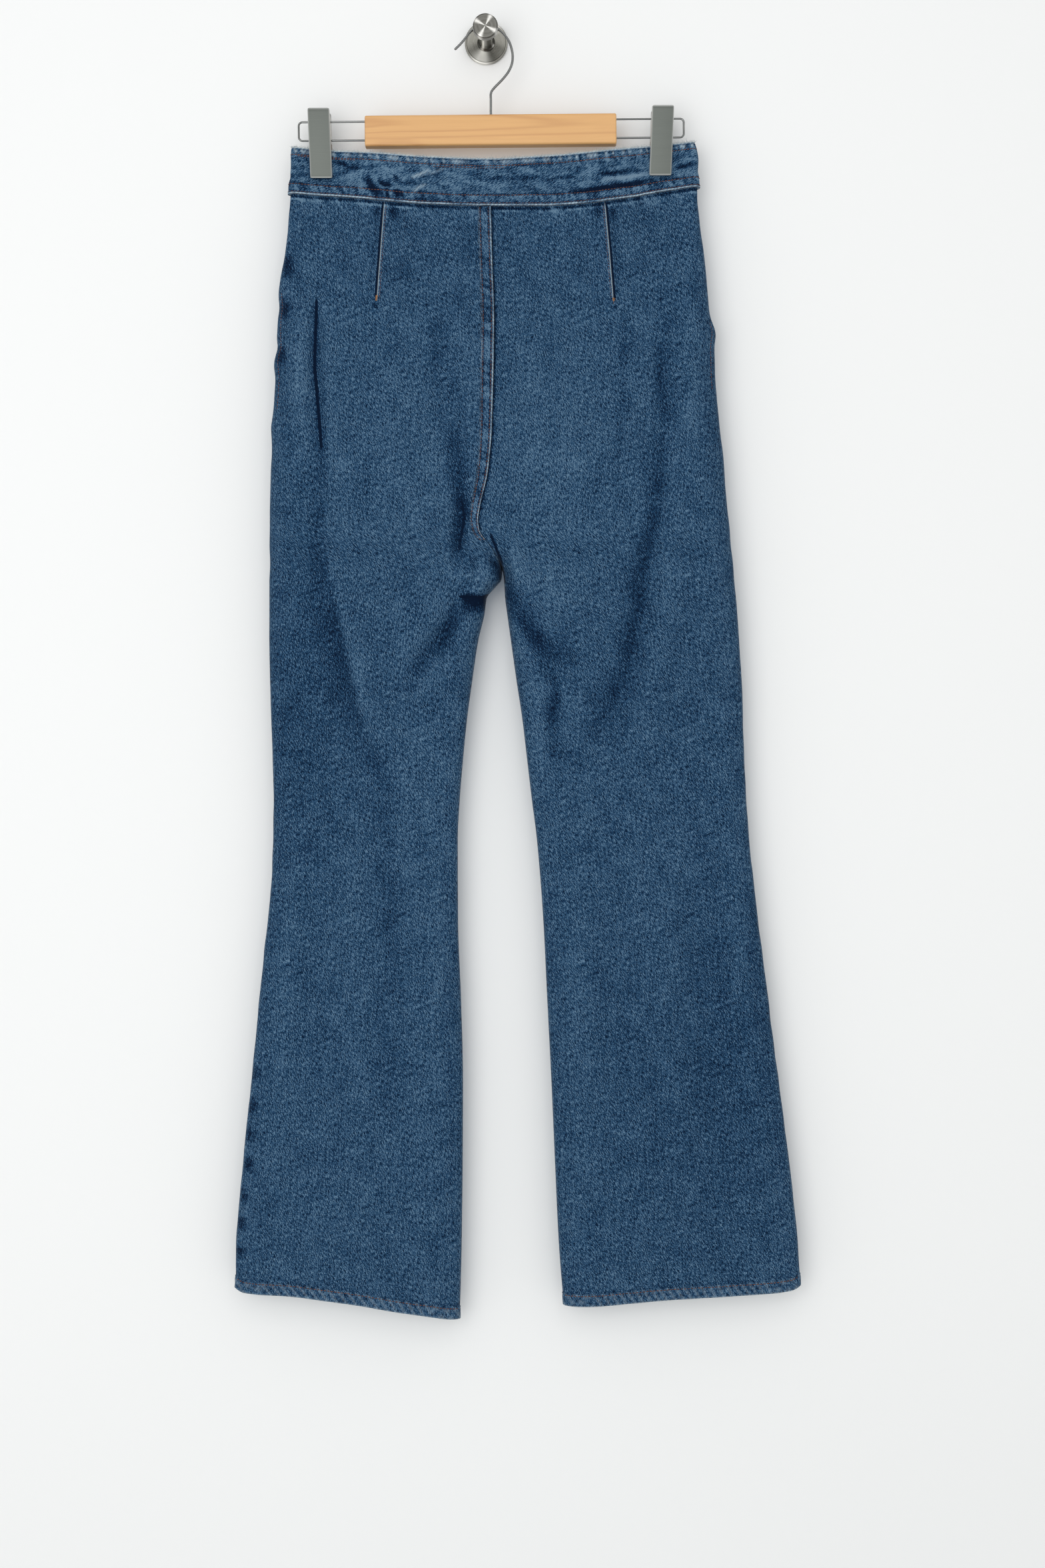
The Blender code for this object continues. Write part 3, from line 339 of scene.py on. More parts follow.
# round patches, paler (over 0) where the dye has faded on the seat and darker (under 0) on the thighs and shins, with
# painted shade down the right leg's outer side; then lines in SHADES
FADE_AND_SHADE_PATCHES = table("x z wide tall amount", [
    (61, -385, 46, 80, 0.22), (-60, -400, 50, 80, 0.12), (-170, -640, 40, 120, -0.3),
    (236, -940, 40, 160, -0.26), (165, -1000, 60, 150, -0.14), (-60, -700, 50, 90, 0.1),
    (150, -600, 50, 80, -0.1),
])
# painted shade: dark lines (under 0) along the folds, in the creases, under the lip of slack cloth, in the dents at the
# side seams and under the band, with a little painted light (over 0) on some crests
SHADES = table(FOLD, [
    (-149.7, -377.5, -154, -442, -158.9, -515.8, 8.8, 7.5, -0.23),  # left hip, down to the thigh
    (-151.7, -478.7, -137.6, -546.4, -117.3, -648, 19.1, 4, -0.45),
    (-146.6, -343.6, -142.3, -405.1, -144.2, -466.6, 5, 15, 0.09),
    (-168.5, -367.7, -172.8, -441.7, -177.7, -527.9, 15, 10, -0.11),
    (-32.2, -362.4, -27.2, -405.4, -23.6, -442.3, 10, 8.5, -0.5),  # beside the centre seam
    (-21.7, -431.2, -20.5, -451.5, -27.2, -485.3, 9, 6.4, -0.85),
    (-17.4, -486.5, -11.9, -495.1, -5.1, -505, 3.8, 3.8, -0.26),
    (-21.8, -523.8, -8.9, -528.1, 4.1, -528.1, 7, 4, -2.1),  # under the lip
    (-22.4, -531.1, -34.7, -555.8, -48.3, -580.4, 6.8, 11.2, -0.62),
    (-45.3, -574.1, -61.9, -592.6, -68.1, -626.4, 10, 7.5, -0.21),
    (-49.6, -644.9, -37.3, -620.2, -25, -598.7, 7.5, 12.5, -0.13),
    (4.1, -488.2, 10.2, -497.4, 13.3, -510.9, 6, 3, -0.9),
    (164.5, -368.4, 159.6, -431.1, 146.1, -497.5, 10.1, 5.6, -0.55),  # right hip and thigh
    (149.9, -466.5, 141.3, -528.1, 130.2, -580.4, 11.7, 6.4, -0.55),
    (135.2, -558.7, 119.2, -608, 95.8, -660.3, 11.2, 9, -0.48),
    (129.4, -254.9, 126.4, -340.3, 120.8, -433.1, 5.6, 4.5, -0.28),
    (163.3, -282.3, 160.8, -324.8, 166.4, -368.4, 6, 6, -0.5),
    (185.7, -300.2, 186.3, -324.8, 185.7, -349.4, 6.2, 6.2, -0.21),
    (168.3, -232.7, 170.8, -263.5, 167.1, -294.2, 11.2, 11.2, -0.13),
    (17, -508.4, 29.9, -544.1, 53.3, -569.3, 7.9, 10.1, -0.6),  # inside of the right thigh
    (41, -558.8, 63.8, -577.2, 88.4, -585.2, 10.1, 10.1, -0.58),
    (29.3, -474.3, 51.4, -509.9, 84.6, -544.3, 17.5, 22.5, 0.16),
    (61.3, -586.4, 66.2, -614.1, 60.7, -646.1, 6, 4, -0.5),
    (68.7, -651.1, 79.8, -669.6, 93.4, -681.9, 12.5, 10, -0.18),
    (-87.6, -200.7, -76.6, -222.8, -65.5, -241.9, 7.5, 7.5, -0.21),  # seat
    (-43.8, -250.6, -45.7, -296.7, -52.4, -331.7, 7.5, 8.8, -0.22),
    (-29.1, -301, -23.6, -355.7, -27.2, -399.3, 7.5, 7.5, -0.23),
    (-15.1, -177.1, -13.8, -194.3, -16.3, -217.1, 10, 10, -0.21),
    (-183.1, -205.9, -183.1, -218.2, -184.4, -230.6, 4.5, 4.5, -1.15),  # dents at the left side seam
    (-185.6, -249.1, -185, -259, -187.4, -268.9, 4.5, 5, -1.25),
    (-189.3, -292.4, -189.9, -301.1, -193, -309.7, 3, 5, -1.1),
    (-100.5, -161, -100.3, -167, -100, -175, 3, 2.6, -1.1),  # under the band, beside the darts
    (-87, -161, -86, -168, -85, -177, 3.4, 4.4, -1.1),
    (101, -161, 104, -166, 107.5, -173, 6, 4, -1),
    (118.5, -160, 118, -167, 117, -176, 2.6, 4, -1),
    (-101.4, -255, -101.8, -257, -102.2, -259, 2.2, 2.2, -1.4),  # where the darts end
    (119.4, -256, 119.8, -258, 120.2, -260, 2.2, 2.2, -1.4),
    (-212.2, -959, -213.1, -966, -214.1, -973, 3.3, 3.2, -0.75),
    (-215.2, -988, -216.1, -996, -217.1, -1004, 3.3, 3.4, -0.95),
    (-218.4, -1016, -219.1, -1023, -219.5, -1030, 3.3, 3.4, -0.9),
    (-219.2, -1043, -220.1, -1050, -221.1, -1058, 3.3, 3.8, -1.15),
    (-223.2, -1072, -224.1, -1080, -225.1, -1086, 3.3, 3.6, -1),
    (-225.4, -1098, -226.1, -1104, -227.1, -1111, 3.3, 3.8, -1.15),
    (-227.6, -1126, -228.2, -1131, -228.8, -1136, 3.3, 4, -1.2),
    (-106.4, -626.4, -96.5, -681.9, -89.7, -755.9, 15, 11.2, -0.26),  # left shin
    (-89.7, -731.2, -89.1, -799, -89.7, -860.7, 11.2, 10, -0.21),
    (-89.7, -848.3, -89.7, -934.7, -92.8, -1021, 15, 15, -0.13),
    (167.4, -669.5, 192, -700.4, 204.4, -737.4, 20, 20, -0.06),
])
# a worn pale line a millimetre wide, or none, with a painted shadow line beside it; side 1 puts the painted shadow on
# the +X or upper side
THIN = table("x0 z0 x1 z1 x2 z2 pale dark side", [
    (-93.3, -158, -96.7, -206.4, -100.1, -252.7, 0.85, 3.4, -1),  # darts
    (110, -158, 114.3, -206.4, 118, -253.3, 0.85, 3.4, 1),
    (-154.9, -246.4, -156.8, -309.8, -149.7, -392.8, 0, 2.6, -1),  # left hip
    (-24.8, -523.8, -3.9, -524.8, 13.4, -516.1, 0, 2.6, -1),  # under the lip
    (3.1, -466.6, 12.7, -490.8, 16.4, -512.7, 0, 1.9, 1),  # right fold of the crotch
    (-23.6, -433.1, -20.5, -451.5, -26, -484.1, 0, 0.8, 1),
    (-204.6, -296, -202, -306, -201.4, -318, 0.5, 0, 1),
])
print("sharp creases:", len(BACK_SHARP["z0"]), "back,", len(FRONT_SHARP["z0"]), "front")

# %% [markdown]
# ## The garment's form
# Each panel is one surface of two parameters: a level down the garment, and a share of the way from the side
# to the inside leg. The side rounds over like a quarter circle, the flat part carries the folds, and the clips
# pinch the waist thin. The cloth gets its wall by moving the points along their own normals, so it stays a
# shell with an open inside, never a filled body.

# %% The form, its creases and its normals
def seam_turn(z):
    """0 down the centre seam, 1 from the crotch down, where the inner edge is the inside leg."""
    return ease((CROTCH_TOP - z) / (CROTCH_TOP - CROTCH_LOW))


def inner_edge(z, side, face):
    """The inner edge's x: a fair curve through its table; the front runs straight to the crotch."""
    x = along(INSIDE, side, z)
    if face == "front":
        x = np.where(z > FRONT_JOIN, along(FRONT_CENTRE, "x", z), x)
    return x


def side_edge(z, side):
    """The outer edge's x: the outline's curve plus a bell outwards at each swelling."""
    turn, row = (1.0, 0) if side == "left" else (-1.0, 1)
    x = along(OUTLINE, side, z)
    for k in np.where(EDGE_SWELL["side"] == row)[0]:
        x = x - turn * EDGE_SWELL["out"][k] * bell(z - EDGE_SWELL["z"][k], EDGE_SWELL["half"][k])
    return x - turn * 0.35 * ripple(z, 17.0, 5 + row)


def shaped_height(level, x, share, side):
    """Height of a level: level lines follow the waistband above and the hem below."""
    top, low = along(BAND_EDGE, "top", x, "x"), along(BAND_EDGE, "low", x, "x")
    in_band = low + (level - BAND_LOW) / BAND_TALL * (top - low)
    below = level + (low - BAND_LOW) * ease((level + 330.0) / 179.0)
    hem = along(HEM_EDGE, side, share, "share") - HEM_LEVEL
    return np.where(level > BAND_LOW, in_band, below + hem * ease((-1000.0 - level) / 175.0))


def small_relief(face, side, x, z, level):
    """Millimetres of relief too small for the solids.

    Sharp creases, soft dents, and puckers that die away from the band, the seams, the darts and the hem."""
    seed = {"back": 20, "front": 40}[face] + (side == "right")
    calm = 1 - 0.55 * ease((-640.0 - z) / 200.0)
    dents = calm * (0.30 * soft_noise(x, z, 34.0, 60.0, seed) + 0.06 * soft_noise(x, z, 13.0, 22.0, seed + 5))
    under_band = np.exp(-np.maximum(BAND_LOW - level, 0) / 9.0)
    band = 0.75 * under_band * soft_noise(x + 0.75 * (z - BAND_LOW), z, 4.6, 26.0, seed + 9)
    above_crotch = ease((z + 470.0) / 40.0)
    centre = np.abs(x - along(INSIDE, side, z) + (5.0 if side == "left" else 0.0))
    seam = 0.45 * above_crotch * np.exp(-centre / 9.0) * ripple(z + 0.5 * x, 5.5, seed + 12)
    dart = 0.0
    if face == "back":
        near = np.exp(-np.abs(x - along(DARTS, side, z)) / 6.0) * ease((z + 268.0) / 24.0)
        dart = 0.35 * near * ripple(z - 0.6 * x, 5.0, seed + 15)
    hem = 0.4 * np.exp(-np.abs(level - HEM_LEVEL - HEM_TALL) / 9.0) * ripple(x + 0.8 * z, 8.0, seed + 18)
    return fold_height(SHARP[face], x, z) + dents + band + seam + dart + hem


def form(side, face, level, outer, middle, inner):
    """Points of the outer surface and their outward normals, rows by columns, with the small relief.

    A column lies `outer` of the side's rounding in from the side, then `middle` of the flat part, then
    `inner` of the inside leg's rounding. Columns run towards +X."""
    turn = 1.0 if side == "left" else -1.0
    level, outer = np.meshgrid(level, outer, indexing="ij")
    middle, inner = np.broadcast_to(middle, level.shape), np.broadcast_to(inner, level.shape)
    zero, one = np.zeros_like(level), np.ones_like(level)
    z_out = shaped_height(level, along(OUTLINE, side, level), zero, side)
    z_in = shaped_height(level, inner_edge(level, side, face), one, side)
    x_out = side_edge(z_out, side)
    x_in = inner_edge(z_in, side, face) - turn * GAP / 2
    wide = np.abs(x_in - x_out)
    r_out, r_in = along(DEPTH, "round_out", level), along(DEPTH, "round_in", level)
    s = outer * r_out + middle * (wide - r_out - r_in) + inner * r_in
    x = x_out + turn * s
    z = shaped_height(level, x, s / wide, side)
    under = seam_turn(z)
    side_turn = np.sqrt(np.clip(1 - (1 - np.minimum(s / r_out, 1)) ** 2, 0, 1))
    leg_turn = np.sqrt(np.clip(1 - under * (1 - np.minimum((wide - s) / r_in, 1)) ** 2, 0, 1))
    pinch = sum(np.exp(-np.abs((x - at) / PINCH_WIDE) ** 3) for at in PINCH_X)
    depth = along(DEPTH, "back", z) * (1 - along(DEPTH, "pinch", z) * pinch)
    broad = fold_height(BACK_FOLDS if face == "back" else FRONT_FOLDS, x, z)
    small = small_relief(face, side, x, z, level)
    loose = ease((BAND_LOW + 5 - level) / 20.0)
    relief = (broad + small) * loose + small * (1 - loose) * (level < BAND_LOW)
    if face == "front":
        depth = depth * FRONT_SHARE + 0.5
    depth = np.maximum((depth + relief) * side_turn * leg_turn, GAP / 2)
    out = -1.0 if face == "back" else 1.0
    points = np.stack([x, MID_Y + out * depth, z], axis=-1)
    fields = dict(level=level, x=x, z=z, relief=relief - smoothed(relief, 4), side=s, inside_leg=wide - s)
    if side == "right":
        points, under = points[:, ::-1], under[:, ::-1]
        fields = {key: value[:, ::-1] for key, value in fields.items()}
    across, down = np.gradient(points, axis=1), np.gradient(points, axis=0)
    normal = np.cross(across, down) * out
    side_column, leg_column = (0, -1) if side == "left" else (-1, 0)
    normal[:, side_column, 1] = 0
    edge = normal[:, leg_column]
    lean = np.maximum(edge[:, 0] * turn, 0) * turn
    edge[:, 0] = lean * np.clip(under[:, leg_column] * 4, 0, 1)
    edge[:, 1] = np.where(under[:, leg_column] > 0.995, 0, edge[:, 1])  # square to the mid plane down the leg
    edge[:, 0] = np.where(np.linalg.norm(edge, axis=1) < 1e-6, turn, edge[:, 0])
    return points, unit(normal), fields


def moved(points, normal, by, face):
    """The points moved out by this much, kept on their own side of the mid plane."""
    out = -1.0 if face == "back" else 1.0
    new = points + normal * np.broadcast_to(by, points.shape[:2])[..., None]
    new[..., 1] = MID_Y + out * np.maximum((new[..., 1] - MID_Y) * out, GAP / 2)
    return new


# %% [markdown]
# ## From numbers to a mesh
# A shell is two grids of the same size, the face and the reverse of the cloth, closed round the rim. Blender
# can take every point and every face in one go with foreach_set, which is quick even at 80,000 faces.
# The cloth map (a UV map in metres, with the grain running down the piece) lets the weave follow the cloth, and a few
# numbers stored on the points tell the colour where the cloth is worn or faded, and where shade is painted into
# creases, dents, under edges and beside seams.

# %% Mesh helpers
def placed(name, data):
    """An object with this name and data, in the scene."""
    made = bpy.data.objects.new(name, data)
    bpy.context.scene.collection.objects.link(made)
    return made


def mesh_object(name, points, quads, material, marks=None, cloth_map=None, smooth=True):
    """An object from millimetre points and four-sided faces, turned to face out by the sign of its volume.

    A repeated corner makes a triangle."""
    points, quads = np.asarray(points, float).reshape(-1, 3), np.asarray(quads, int).reshape(-1, 4)
    a, b, c, d = (points[quads[:, k]] for k in range(4))
    volume = np.einsum("ij,ij->", a, np.cross(b, c)) + np.einsum("ij,ij->", a, np.cross(c, d))
    if volume < 0:
        quads = quads[:, [1, 0, 3, 2]]
    three = quads[:, 3] == quads[:, 2]
    keep = np.ones(quads.shape, bool)
    keep[three, 3] = False
    corners = quads[keep]
    mesh = bpy.data.meshes.new(name)
    mesh.vertices.add(len(points))
    mesh.vertices.foreach_set("co", (points * MM).ravel())
    mesh.loops.add(len(corners))
    mesh.loops.foreach_set("vertex_index", corners)
    mesh.polygons.add(len(quads))
    mesh.polygons.foreach_set("loop_start", np.concatenate([[0], np.cumsum(np.where(three, 3, 4))[:-1]]))
    mesh.update(calc_edges=True)
    mesh.validate()
    mesh.polygons.foreach_set("use_smooth", np.full(len(mesh.polygons), smooth))
    if cloth_map is not None:
        layer = mesh.uv_layers.new(name="cloth")
        index = np.empty(len(mesh.loops), int)
        mesh.loops.foreach_get("vertex_index", index)
        layer.data.foreach_set("uv", (cloth_map.reshape(-1, 2)[index] * MM).ravel())
    for key, value in (marks or {}).items():
        stored = mesh.attributes.new(key, "FLOAT", "POINT")
        stored.data.foreach_set("value", np.broadcast_to(value, len(points)).astype(float))
    mesh.materials.append(material)
    return placed(name, mesh)


def grid_quads(rows, columns, closed=False):
    """Four-sided faces of a grid; closed joins the last column to the first."""
    index = np.arange(rows * columns).reshape(rows, columns)
    if closed:
        index = np.concatenate([index, index[:, :1]], axis=1)
    return np.stack([index[:-1, :-1], index[1:, :-1], index[1:, 1:], index[:-1, 1:]], -1).reshape(-1, 4)


def shell(name, outside, inside, material, marks, cloth_map):
    """A closed wall: the outside grid, the inside grid turned round, and a strip of faces round the rim."""
    rows, columns = outside.shape[:2]
    count = rows * columns
    front = grid_quads(rows, columns)
    index = np.arange(count).reshape(rows, columns)
    rim = np.concatenate([index[0], index[1:, -1], index[-1, -2::-1], index[-2:0:-1, 0]])
    after = np.roll(rim, -1)
    strip = np.stack([rim, after, after + count, rim + count], -1)
    points = np.concatenate([outside.reshape(-1, 3), inside.reshape(-1, 3)])
    quads = np.concatenate([front, front[:, ::-1] + count, strip])
    both = {key: np.concatenate([value.ravel(), np.zeros(count)]) for key, value in marks.items()}
    both["reverse"] = np.concatenate([np.zeros(count), np.ones(count)])
    return mesh_object(name, points, quads, material, both, np.concatenate([cloth_map.reshape(-1, 2)] * 2))


def cloth_map_of(points, grain):
    """Across: the length along each row from the grain line's column. Down: the length along that column."""
    step = np.linalg.norm(np.diff(points, axis=1), axis=2)
    across = np.concatenate([np.zeros((len(points), 1)), np.cumsum(step, axis=1)], axis=1)
    across = across - across[:, grain : grain + 1]
    drop = np.linalg.norm(np.diff(points[:, grain], axis=0), axis=1)
    down = -np.concatenate([[0.0], np.cumsum(drop)])
    return np.stack([across, np.broadcast_to(down[:, None], across.shape)], axis=-1)


def thin_lines(rows, x, z):
    """Three numbers for the shader: the distance to the nearest thin line, over 0 on its painted-shadow side, and how
    strong its worn pale line and its painted shadow line are there. Without rows, no line is near."""
    best, pale, dark = np.full(x.shape, 20.0), np.zeros_like(x), np.zeros_like(x)
    for i in range(len(rows["side"]) if rows else 0):
        away, side, place = to_bent_line(rows, i, x, z)
        nearer = away < np.abs(best)
        strong = ease(2 * np.minimum(place, 1 - place) / 0.16)
        best = np.where(nearer, away * side * rows["side"][i], best)
        pale = np.where(nearer, rows["pale"][i] * strong, pale)
        dark = np.where(nearer, rows["dark"][i] * strong, dark)
    return dict(line=best, line_pale=pale, line_painted_shade=dark)


def fade_at(x, z):
    """The sum of the round bells of faded dye and painted shade."""
    rows = zip(*(FADE_AND_SHADE_PATCHES[key] for key in ("x", "z", "wide", "tall", "amount")))
    return sum(amount * bell(x - at_x, wide) * bell(z - at_z, tall) for at_x, at_z, wide, tall, amount in rows)


print("mesh helpers ready")

# %% [markdown]
# ## Camera, light, wall and floor
# The photograph looks square at the wall from about two metres, level with the thighs. Two large soft lamps
# stand before the wall, one to the left and one overhead, and a pale sky fills the rest, so the denim stays
# nearly even. The wall and floor are staging. The wall casts no shadow and lets daylight through to the side
# that hangs against it, and from behind the camera looks through it.

# %% Stage, camera and lamps
def srgb(red, green, blue):
    """A colour read off a screen (0 to 255) as the linear numbers a shader works with."""
    c = np.array([red, green, blue]) / 255.0
    return tuple(float(v) for v in np.where(c <= 0.04045, c / 12.92, ((c + 0.055) / 1.055) ** 2.4))


def new_finish(name, **settings):
    """A material with its node tree and its main shader, which takes the settings."""
    material = bpy.data.materials.new(name)
    material.use_nodes = True
    shader = material.node_tree.nodes["Principled BSDF"]
    for key, value in settings.items():
        shader.inputs[key.replace("_", " ")].default_value = value
    return material, material.node_tree, shader


def plain_surface(name, colour):
    """A matt finish that is see-through from its back face."""
    material, tree, shader = new_finish(name, Base_Color=(*colour, 1), Roughness=0.95, Specular_IOR_Level=0.1)
    kinds = ("ShaderNodeBsdfTransparent", "ShaderNodeMixShader", "ShaderNodeNewGeometry")
    clear, mix, side = (tree.nodes.new(kind) for kind in kinds)
    tree.links.new(side.outputs["Backfacing"], mix.inputs[0])
    tree.links.new(shader.outputs[0], mix.inputs[1])
    tree.links.new(clear.outputs[0], mix.inputs[2])
    tree.links.new(mix.outputs[0], tree.nodes["Material Output"].inputs["Surface"])
    return material


def stage_plane(name, corners, facing, material):
    """A flat four-cornered plane that faces this way."""
    made = mesh_object(name, np.array(corners, float), [[0, 1, 2, 3]], material, smooth=False)
    if np.dot(made.data.polygons[0].normal, facing) < 0:
        made.data.flip_normals()
    return made


pale = plain_surface("pale_paint", srgb(243, 244, 244))
half, wall_y, ceiling_z, floor_z = 2500, 0.4, 1600, -1500
upright = [(-half, wall_y, floor_z), (half, wall_y, floor_z), (half, wall_y, ceiling_z), (-half, wall_y, ceiling_z)]
level = [(-half, -3500, floor_z), (half, -3500, floor_z), (half, half, floor_z), (-half, half, floor_z)]
wall = stage_plane("room_wall", upright, (0, -1, 0), pale)
stage_plane("room_floor", level, (0, 0, 1), pale)
wall.visible_shadow = False
wall.visible_diffuse = False  # daylight reaches the side that hangs against the wall

camera_data = bpy.data.cameras.new("photograph")
camera_data.lens, camera_data.sensor_width = 49.37, 36.0
camera_data.clip_start, camera_data.clip_end = 0.05, 20.0
camera = placed("photograph", camera_data)
camera.location = (0.0342, -2.028, -0.6979)
camera.rotation_euler = (math.radians(90), 0, 0)
bpy.context.scene.camera = camera


def soft_lamp(name, place, target, size, power, colour=(1, 1, 1)):
    """A square lamp of this size in metres, aimed at the target."""
    data = bpy.data.lights.new(name, "AREA")
    data.shape, data.size, data.energy, data.color = "SQUARE", size, power, colour
    lamp = placed(name, data)
    x, y, z = np.array(target, float) - np.array(place, float)
    lamp.location = place
    lamp.rotation_euler = (math.atan2(math.hypot(x, y), -z), 0, math.atan2(x, -y) + math.pi)


soft_lamp("window", (-1.0, -2.6, -0.65), (0.0, 0.0, -0.6), 1.6, 15.8, (1.0, 0.995, 0.985))
soft_lamp("ceiling", (-0.1, -2.9, 0.35), (0.1, 0.0, -0.1), 2.4, 17.4)
world = bpy.context.scene.world or bpy.data.worlds.new("pale_room")
bpy.context.scene.world = world
world.use_nodes = True
sky = world.node_tree.nodes["Background"].inputs
sky["Color"].default_value, sky["Strength"].default_value = (0.985, 0.99, 0.985, 1), 0.70
bpy.context.scene.view_settings.view_transform = "Standard"
print("camera", [round(c, 4) for c in camera.location], "lens", camera_data.lens)

# %% [markdown]
# ## Shader building blocks
# An effect that several finishes share is a node group with named sockets: the twill with its speckle, the
# rubbed white along an edge, and the fine lines of wood or brushed steel. Each is made once and placed in a
# material with its own numbers. The groups put out masks and heights only.

# %% Node helpers and the shared groups
def add(tree, kind, inputs=None, **settings):
    """A node with its settings and input values; an input given as a socket is linked."""
    node = tree.nodes.new(kind)
    for key, value in settings.items():
        setattr(node, key, value)
    for key, value in (inputs or {}).items():
        if isinstance(value, bpy.types.NodeSocket):
            tree.links.new(value, node.inputs[key])
        else:
            node.inputs[key].default_value = value
    return node


def sums(tree, operation, *values, clamp=False):
    """One Math node over sockets or numbers; returns its output."""
    node = add(tree, "ShaderNodeMath", dict(enumerate(values)), operation=operation, use_clamp=clamp)
    return node.outputs[0]


def blend_colours(tree, share, low, high):
    """A colour mix; low and high are sockets or linear colours."""
    node = add(tree, "ShaderNodeMix", data_type="RGBA")
    for key, value in (("Factor", share), ("A", low), ("B", high)):
        socket = [s for s in node.inputs if s.name == key and s.enabled and (key == "Factor" or s.type == "RGBA")][0]
        if isinstance(value, bpy.types.NodeSocket):
            tree.links.new(value, socket)
        else:
            socket.default_value = (*value, 1) if key != "Factor" else value
    return [s for s in node.outputs if s.type == "RGBA"][0]


def new_group(name, inputs, outputs):
    """An empty node group with named sockets, and its two end nodes."""
    tree = bpy.data.node_groups.new(name, "ShaderNodeTree")
    for label, kind, value in inputs:
        socket = tree.interface.new_socket(label, in_out="INPUT", socket_type=kind)
        if value is not None:
            socket.default_value = value
    for label, kind in outputs:
        tree.interface.new_socket(label, in_out="OUTPUT", socket_type=kind)
    return tree, tree.nodes.new("NodeGroupInput").outputs, tree.nodes.new("NodeGroupOutput").inputs


FLOAT, VECTOR = "NodeSocketFloat", "NodeSocketVector"


def swing(tree, value, gain, base, clamp=False):
    """base + gain * (value - 0.5)."""
    return sums(tree, "MULTIPLY_ADD", sums(tree, "SUBTRACT", value, 0.5), gain, base, clamp=clamp)


def wave(tree, value):
    """The sine of the value, brought to 0 to 1."""
    return sums(tree, "MULTIPLY_ADD", sums(tree, "SINE", value), 0.5, 0.5)


def noise(tree, vector, scale, detail, roughness=0.5, flat=False):
    """Soft noise, in the plane of the cloth map when flat."""
    values = {"Vector": vector, "Scale": scale, "Detail": detail, "Roughness": roughness}
    return add(tree, "ShaderNodeTexNoise", values, noise_dimensions="2D" if flat else "3D").outputs[0]


def turned_about_z(tree, vector, angle):
    """A vector turned about Z, which turns the cloth map in its own plane."""
    return add(tree, "ShaderNodeVectorRotate", {"Vector": vector, "Angle": angle}, rotation_type="Z_AXIS").outputs[0]


def times_vector(tree, vector, by):
    """A vector scaled by another one, part by part."""
    return add(tree, "ShaderNodeVectorMath", {0: vector, 1: by}, operation="MULTIPLY").outputs[0]


def put_out(tree, give, **values):
    """Link these sockets to the group's outputs."""
    for label, socket in values.items():
        tree.links.new(socket, give[label])


# twill: long noise cells turned to the twill's lean, round speckle over them, and the ribs themselves
twill, take, give = new_group(
    "twill_yarns",
    [("Cloth map", VECTOR, None), ("Lean", FLOAT, 1.15), ("Yarn", FLOAT, 0.00085)],
    [("Streaks", FLOAT), ("Speckle", FLOAT), ("Clouds", FLOAT), ("Ribs", FLOAT)],
)
turned_map = turned_about_z(twill, take["Cloth map"], take["Lean"])
one_over = sums(twill, "DIVIDE", 1.0, take["Yarn"])
longer = sums(twill, "MULTIPLY", one_over, 0.24)
stretch = add(twill, "ShaderNodeCombineXYZ", {0: longer, 1: one_over, 2: 1.0}).outputs[0]
long_map = times_vector(twill, turned_map, stretch)
tall_clouds = noise(twill, times_vector(twill, take["Cloth map"], (5.0, 0.6, 1.0)), 62.0, 4.0, 0.62, flat=True)
round_clouds = noise(twill, take["Cloth map"], 46.0, 1.0, flat=True)
rib_values = {"Vector": turned_map, "Scale": 240.0, "Distortion": 0.6, "Detail": 1.0}
ribs = add(twill, "ShaderNodeTexWave", rib_values, wave_type="BANDS", bands_direction="Y")
put_out(
    twill, give,
    Streaks=noise(twill, long_map, 1.0, 1.0, 0.6, flat=True),
    Speckle=noise(twill, take["Cloth map"], 1250.0, 2.0, 0.7, flat=True),
    Clouds=swing(twill, round_clouds, 0.55, tall_clouds),
    Ribs=ribs.outputs["Fac"],
)

# rubbed edge: where the wear number is high, broken up into slanting ticks like the turns of a rope
rubbed, take, give = new_group(
    "rubbed_edge",
    [("Cloth map", VECTOR, None)]
    + [(label, FLOAT, value) for label, value in (("Wear", 0.0), ("Lean", 0.6), ("Tick", 0.0028), ("Ticks", 0.5))],
    [("Mask", FLOAT)],
)
slant = add(rubbed, "ShaderNodeSeparateXYZ", {0: turned_about_z(rubbed, take["Cloth map"], take["Lean"])}).outputs[0]
rope = wave(rubbed, sums(rubbed, "MULTIPLY", sums(rubbed, "DIVIDE", slant, take["Tick"]), 2 * math.pi))
fuzz = noise(rubbed, take["Cloth map"], 700.0, 2.0, flat=True)
broken = sums(rubbed, "MULTIPLY_ADD", sums(rubbed, "SUBTRACT", rope, 1.0), take["Ticks"], 1.0)
broken = sums(rubbed, "MULTIPLY", broken, sums(rubbed, "MULTIPLY_ADD", fuzz, 0.9, 0.55))
put_out(rubbed, give, Mask=sums(rubbed, "MULTIPLY", take["Wear"], broken, clamp=True))

# fine lines along one direction, for wood grain and brushed steel
lined, take, give = new_group(
    "fine_lines",
    [("Vector", VECTOR, None), ("Across", FLOAT, 900.0), ("Length", FLOAT, 12.0), ("Bend", FLOAT, 0.0)],
    [("Lines", FLOAT), ("Broad", FLOAT), ("Contours", FLOAT)],
)
parts = add(lined, "ShaderNodeSeparateXYZ", {0: take["Vector"]}).outputs
wander = sums(lined, "MULTIPLY", sums(lined, "SUBTRACT", noise(lined, take["Vector"], 16.0, 1.0), 0.5), take["Bend"])
stretched = {0: sums(lined, "MULTIPLY", parts[0], take["Length"])}
for axis in (1, 2):
    stretched[axis] = sums(lined, "MULTIPLY", sums(lined, "ADD", parts[axis], wander), take["Across"])
place = add(lined, "ShaderNodeCombineXYZ", stretched).outputs[0]
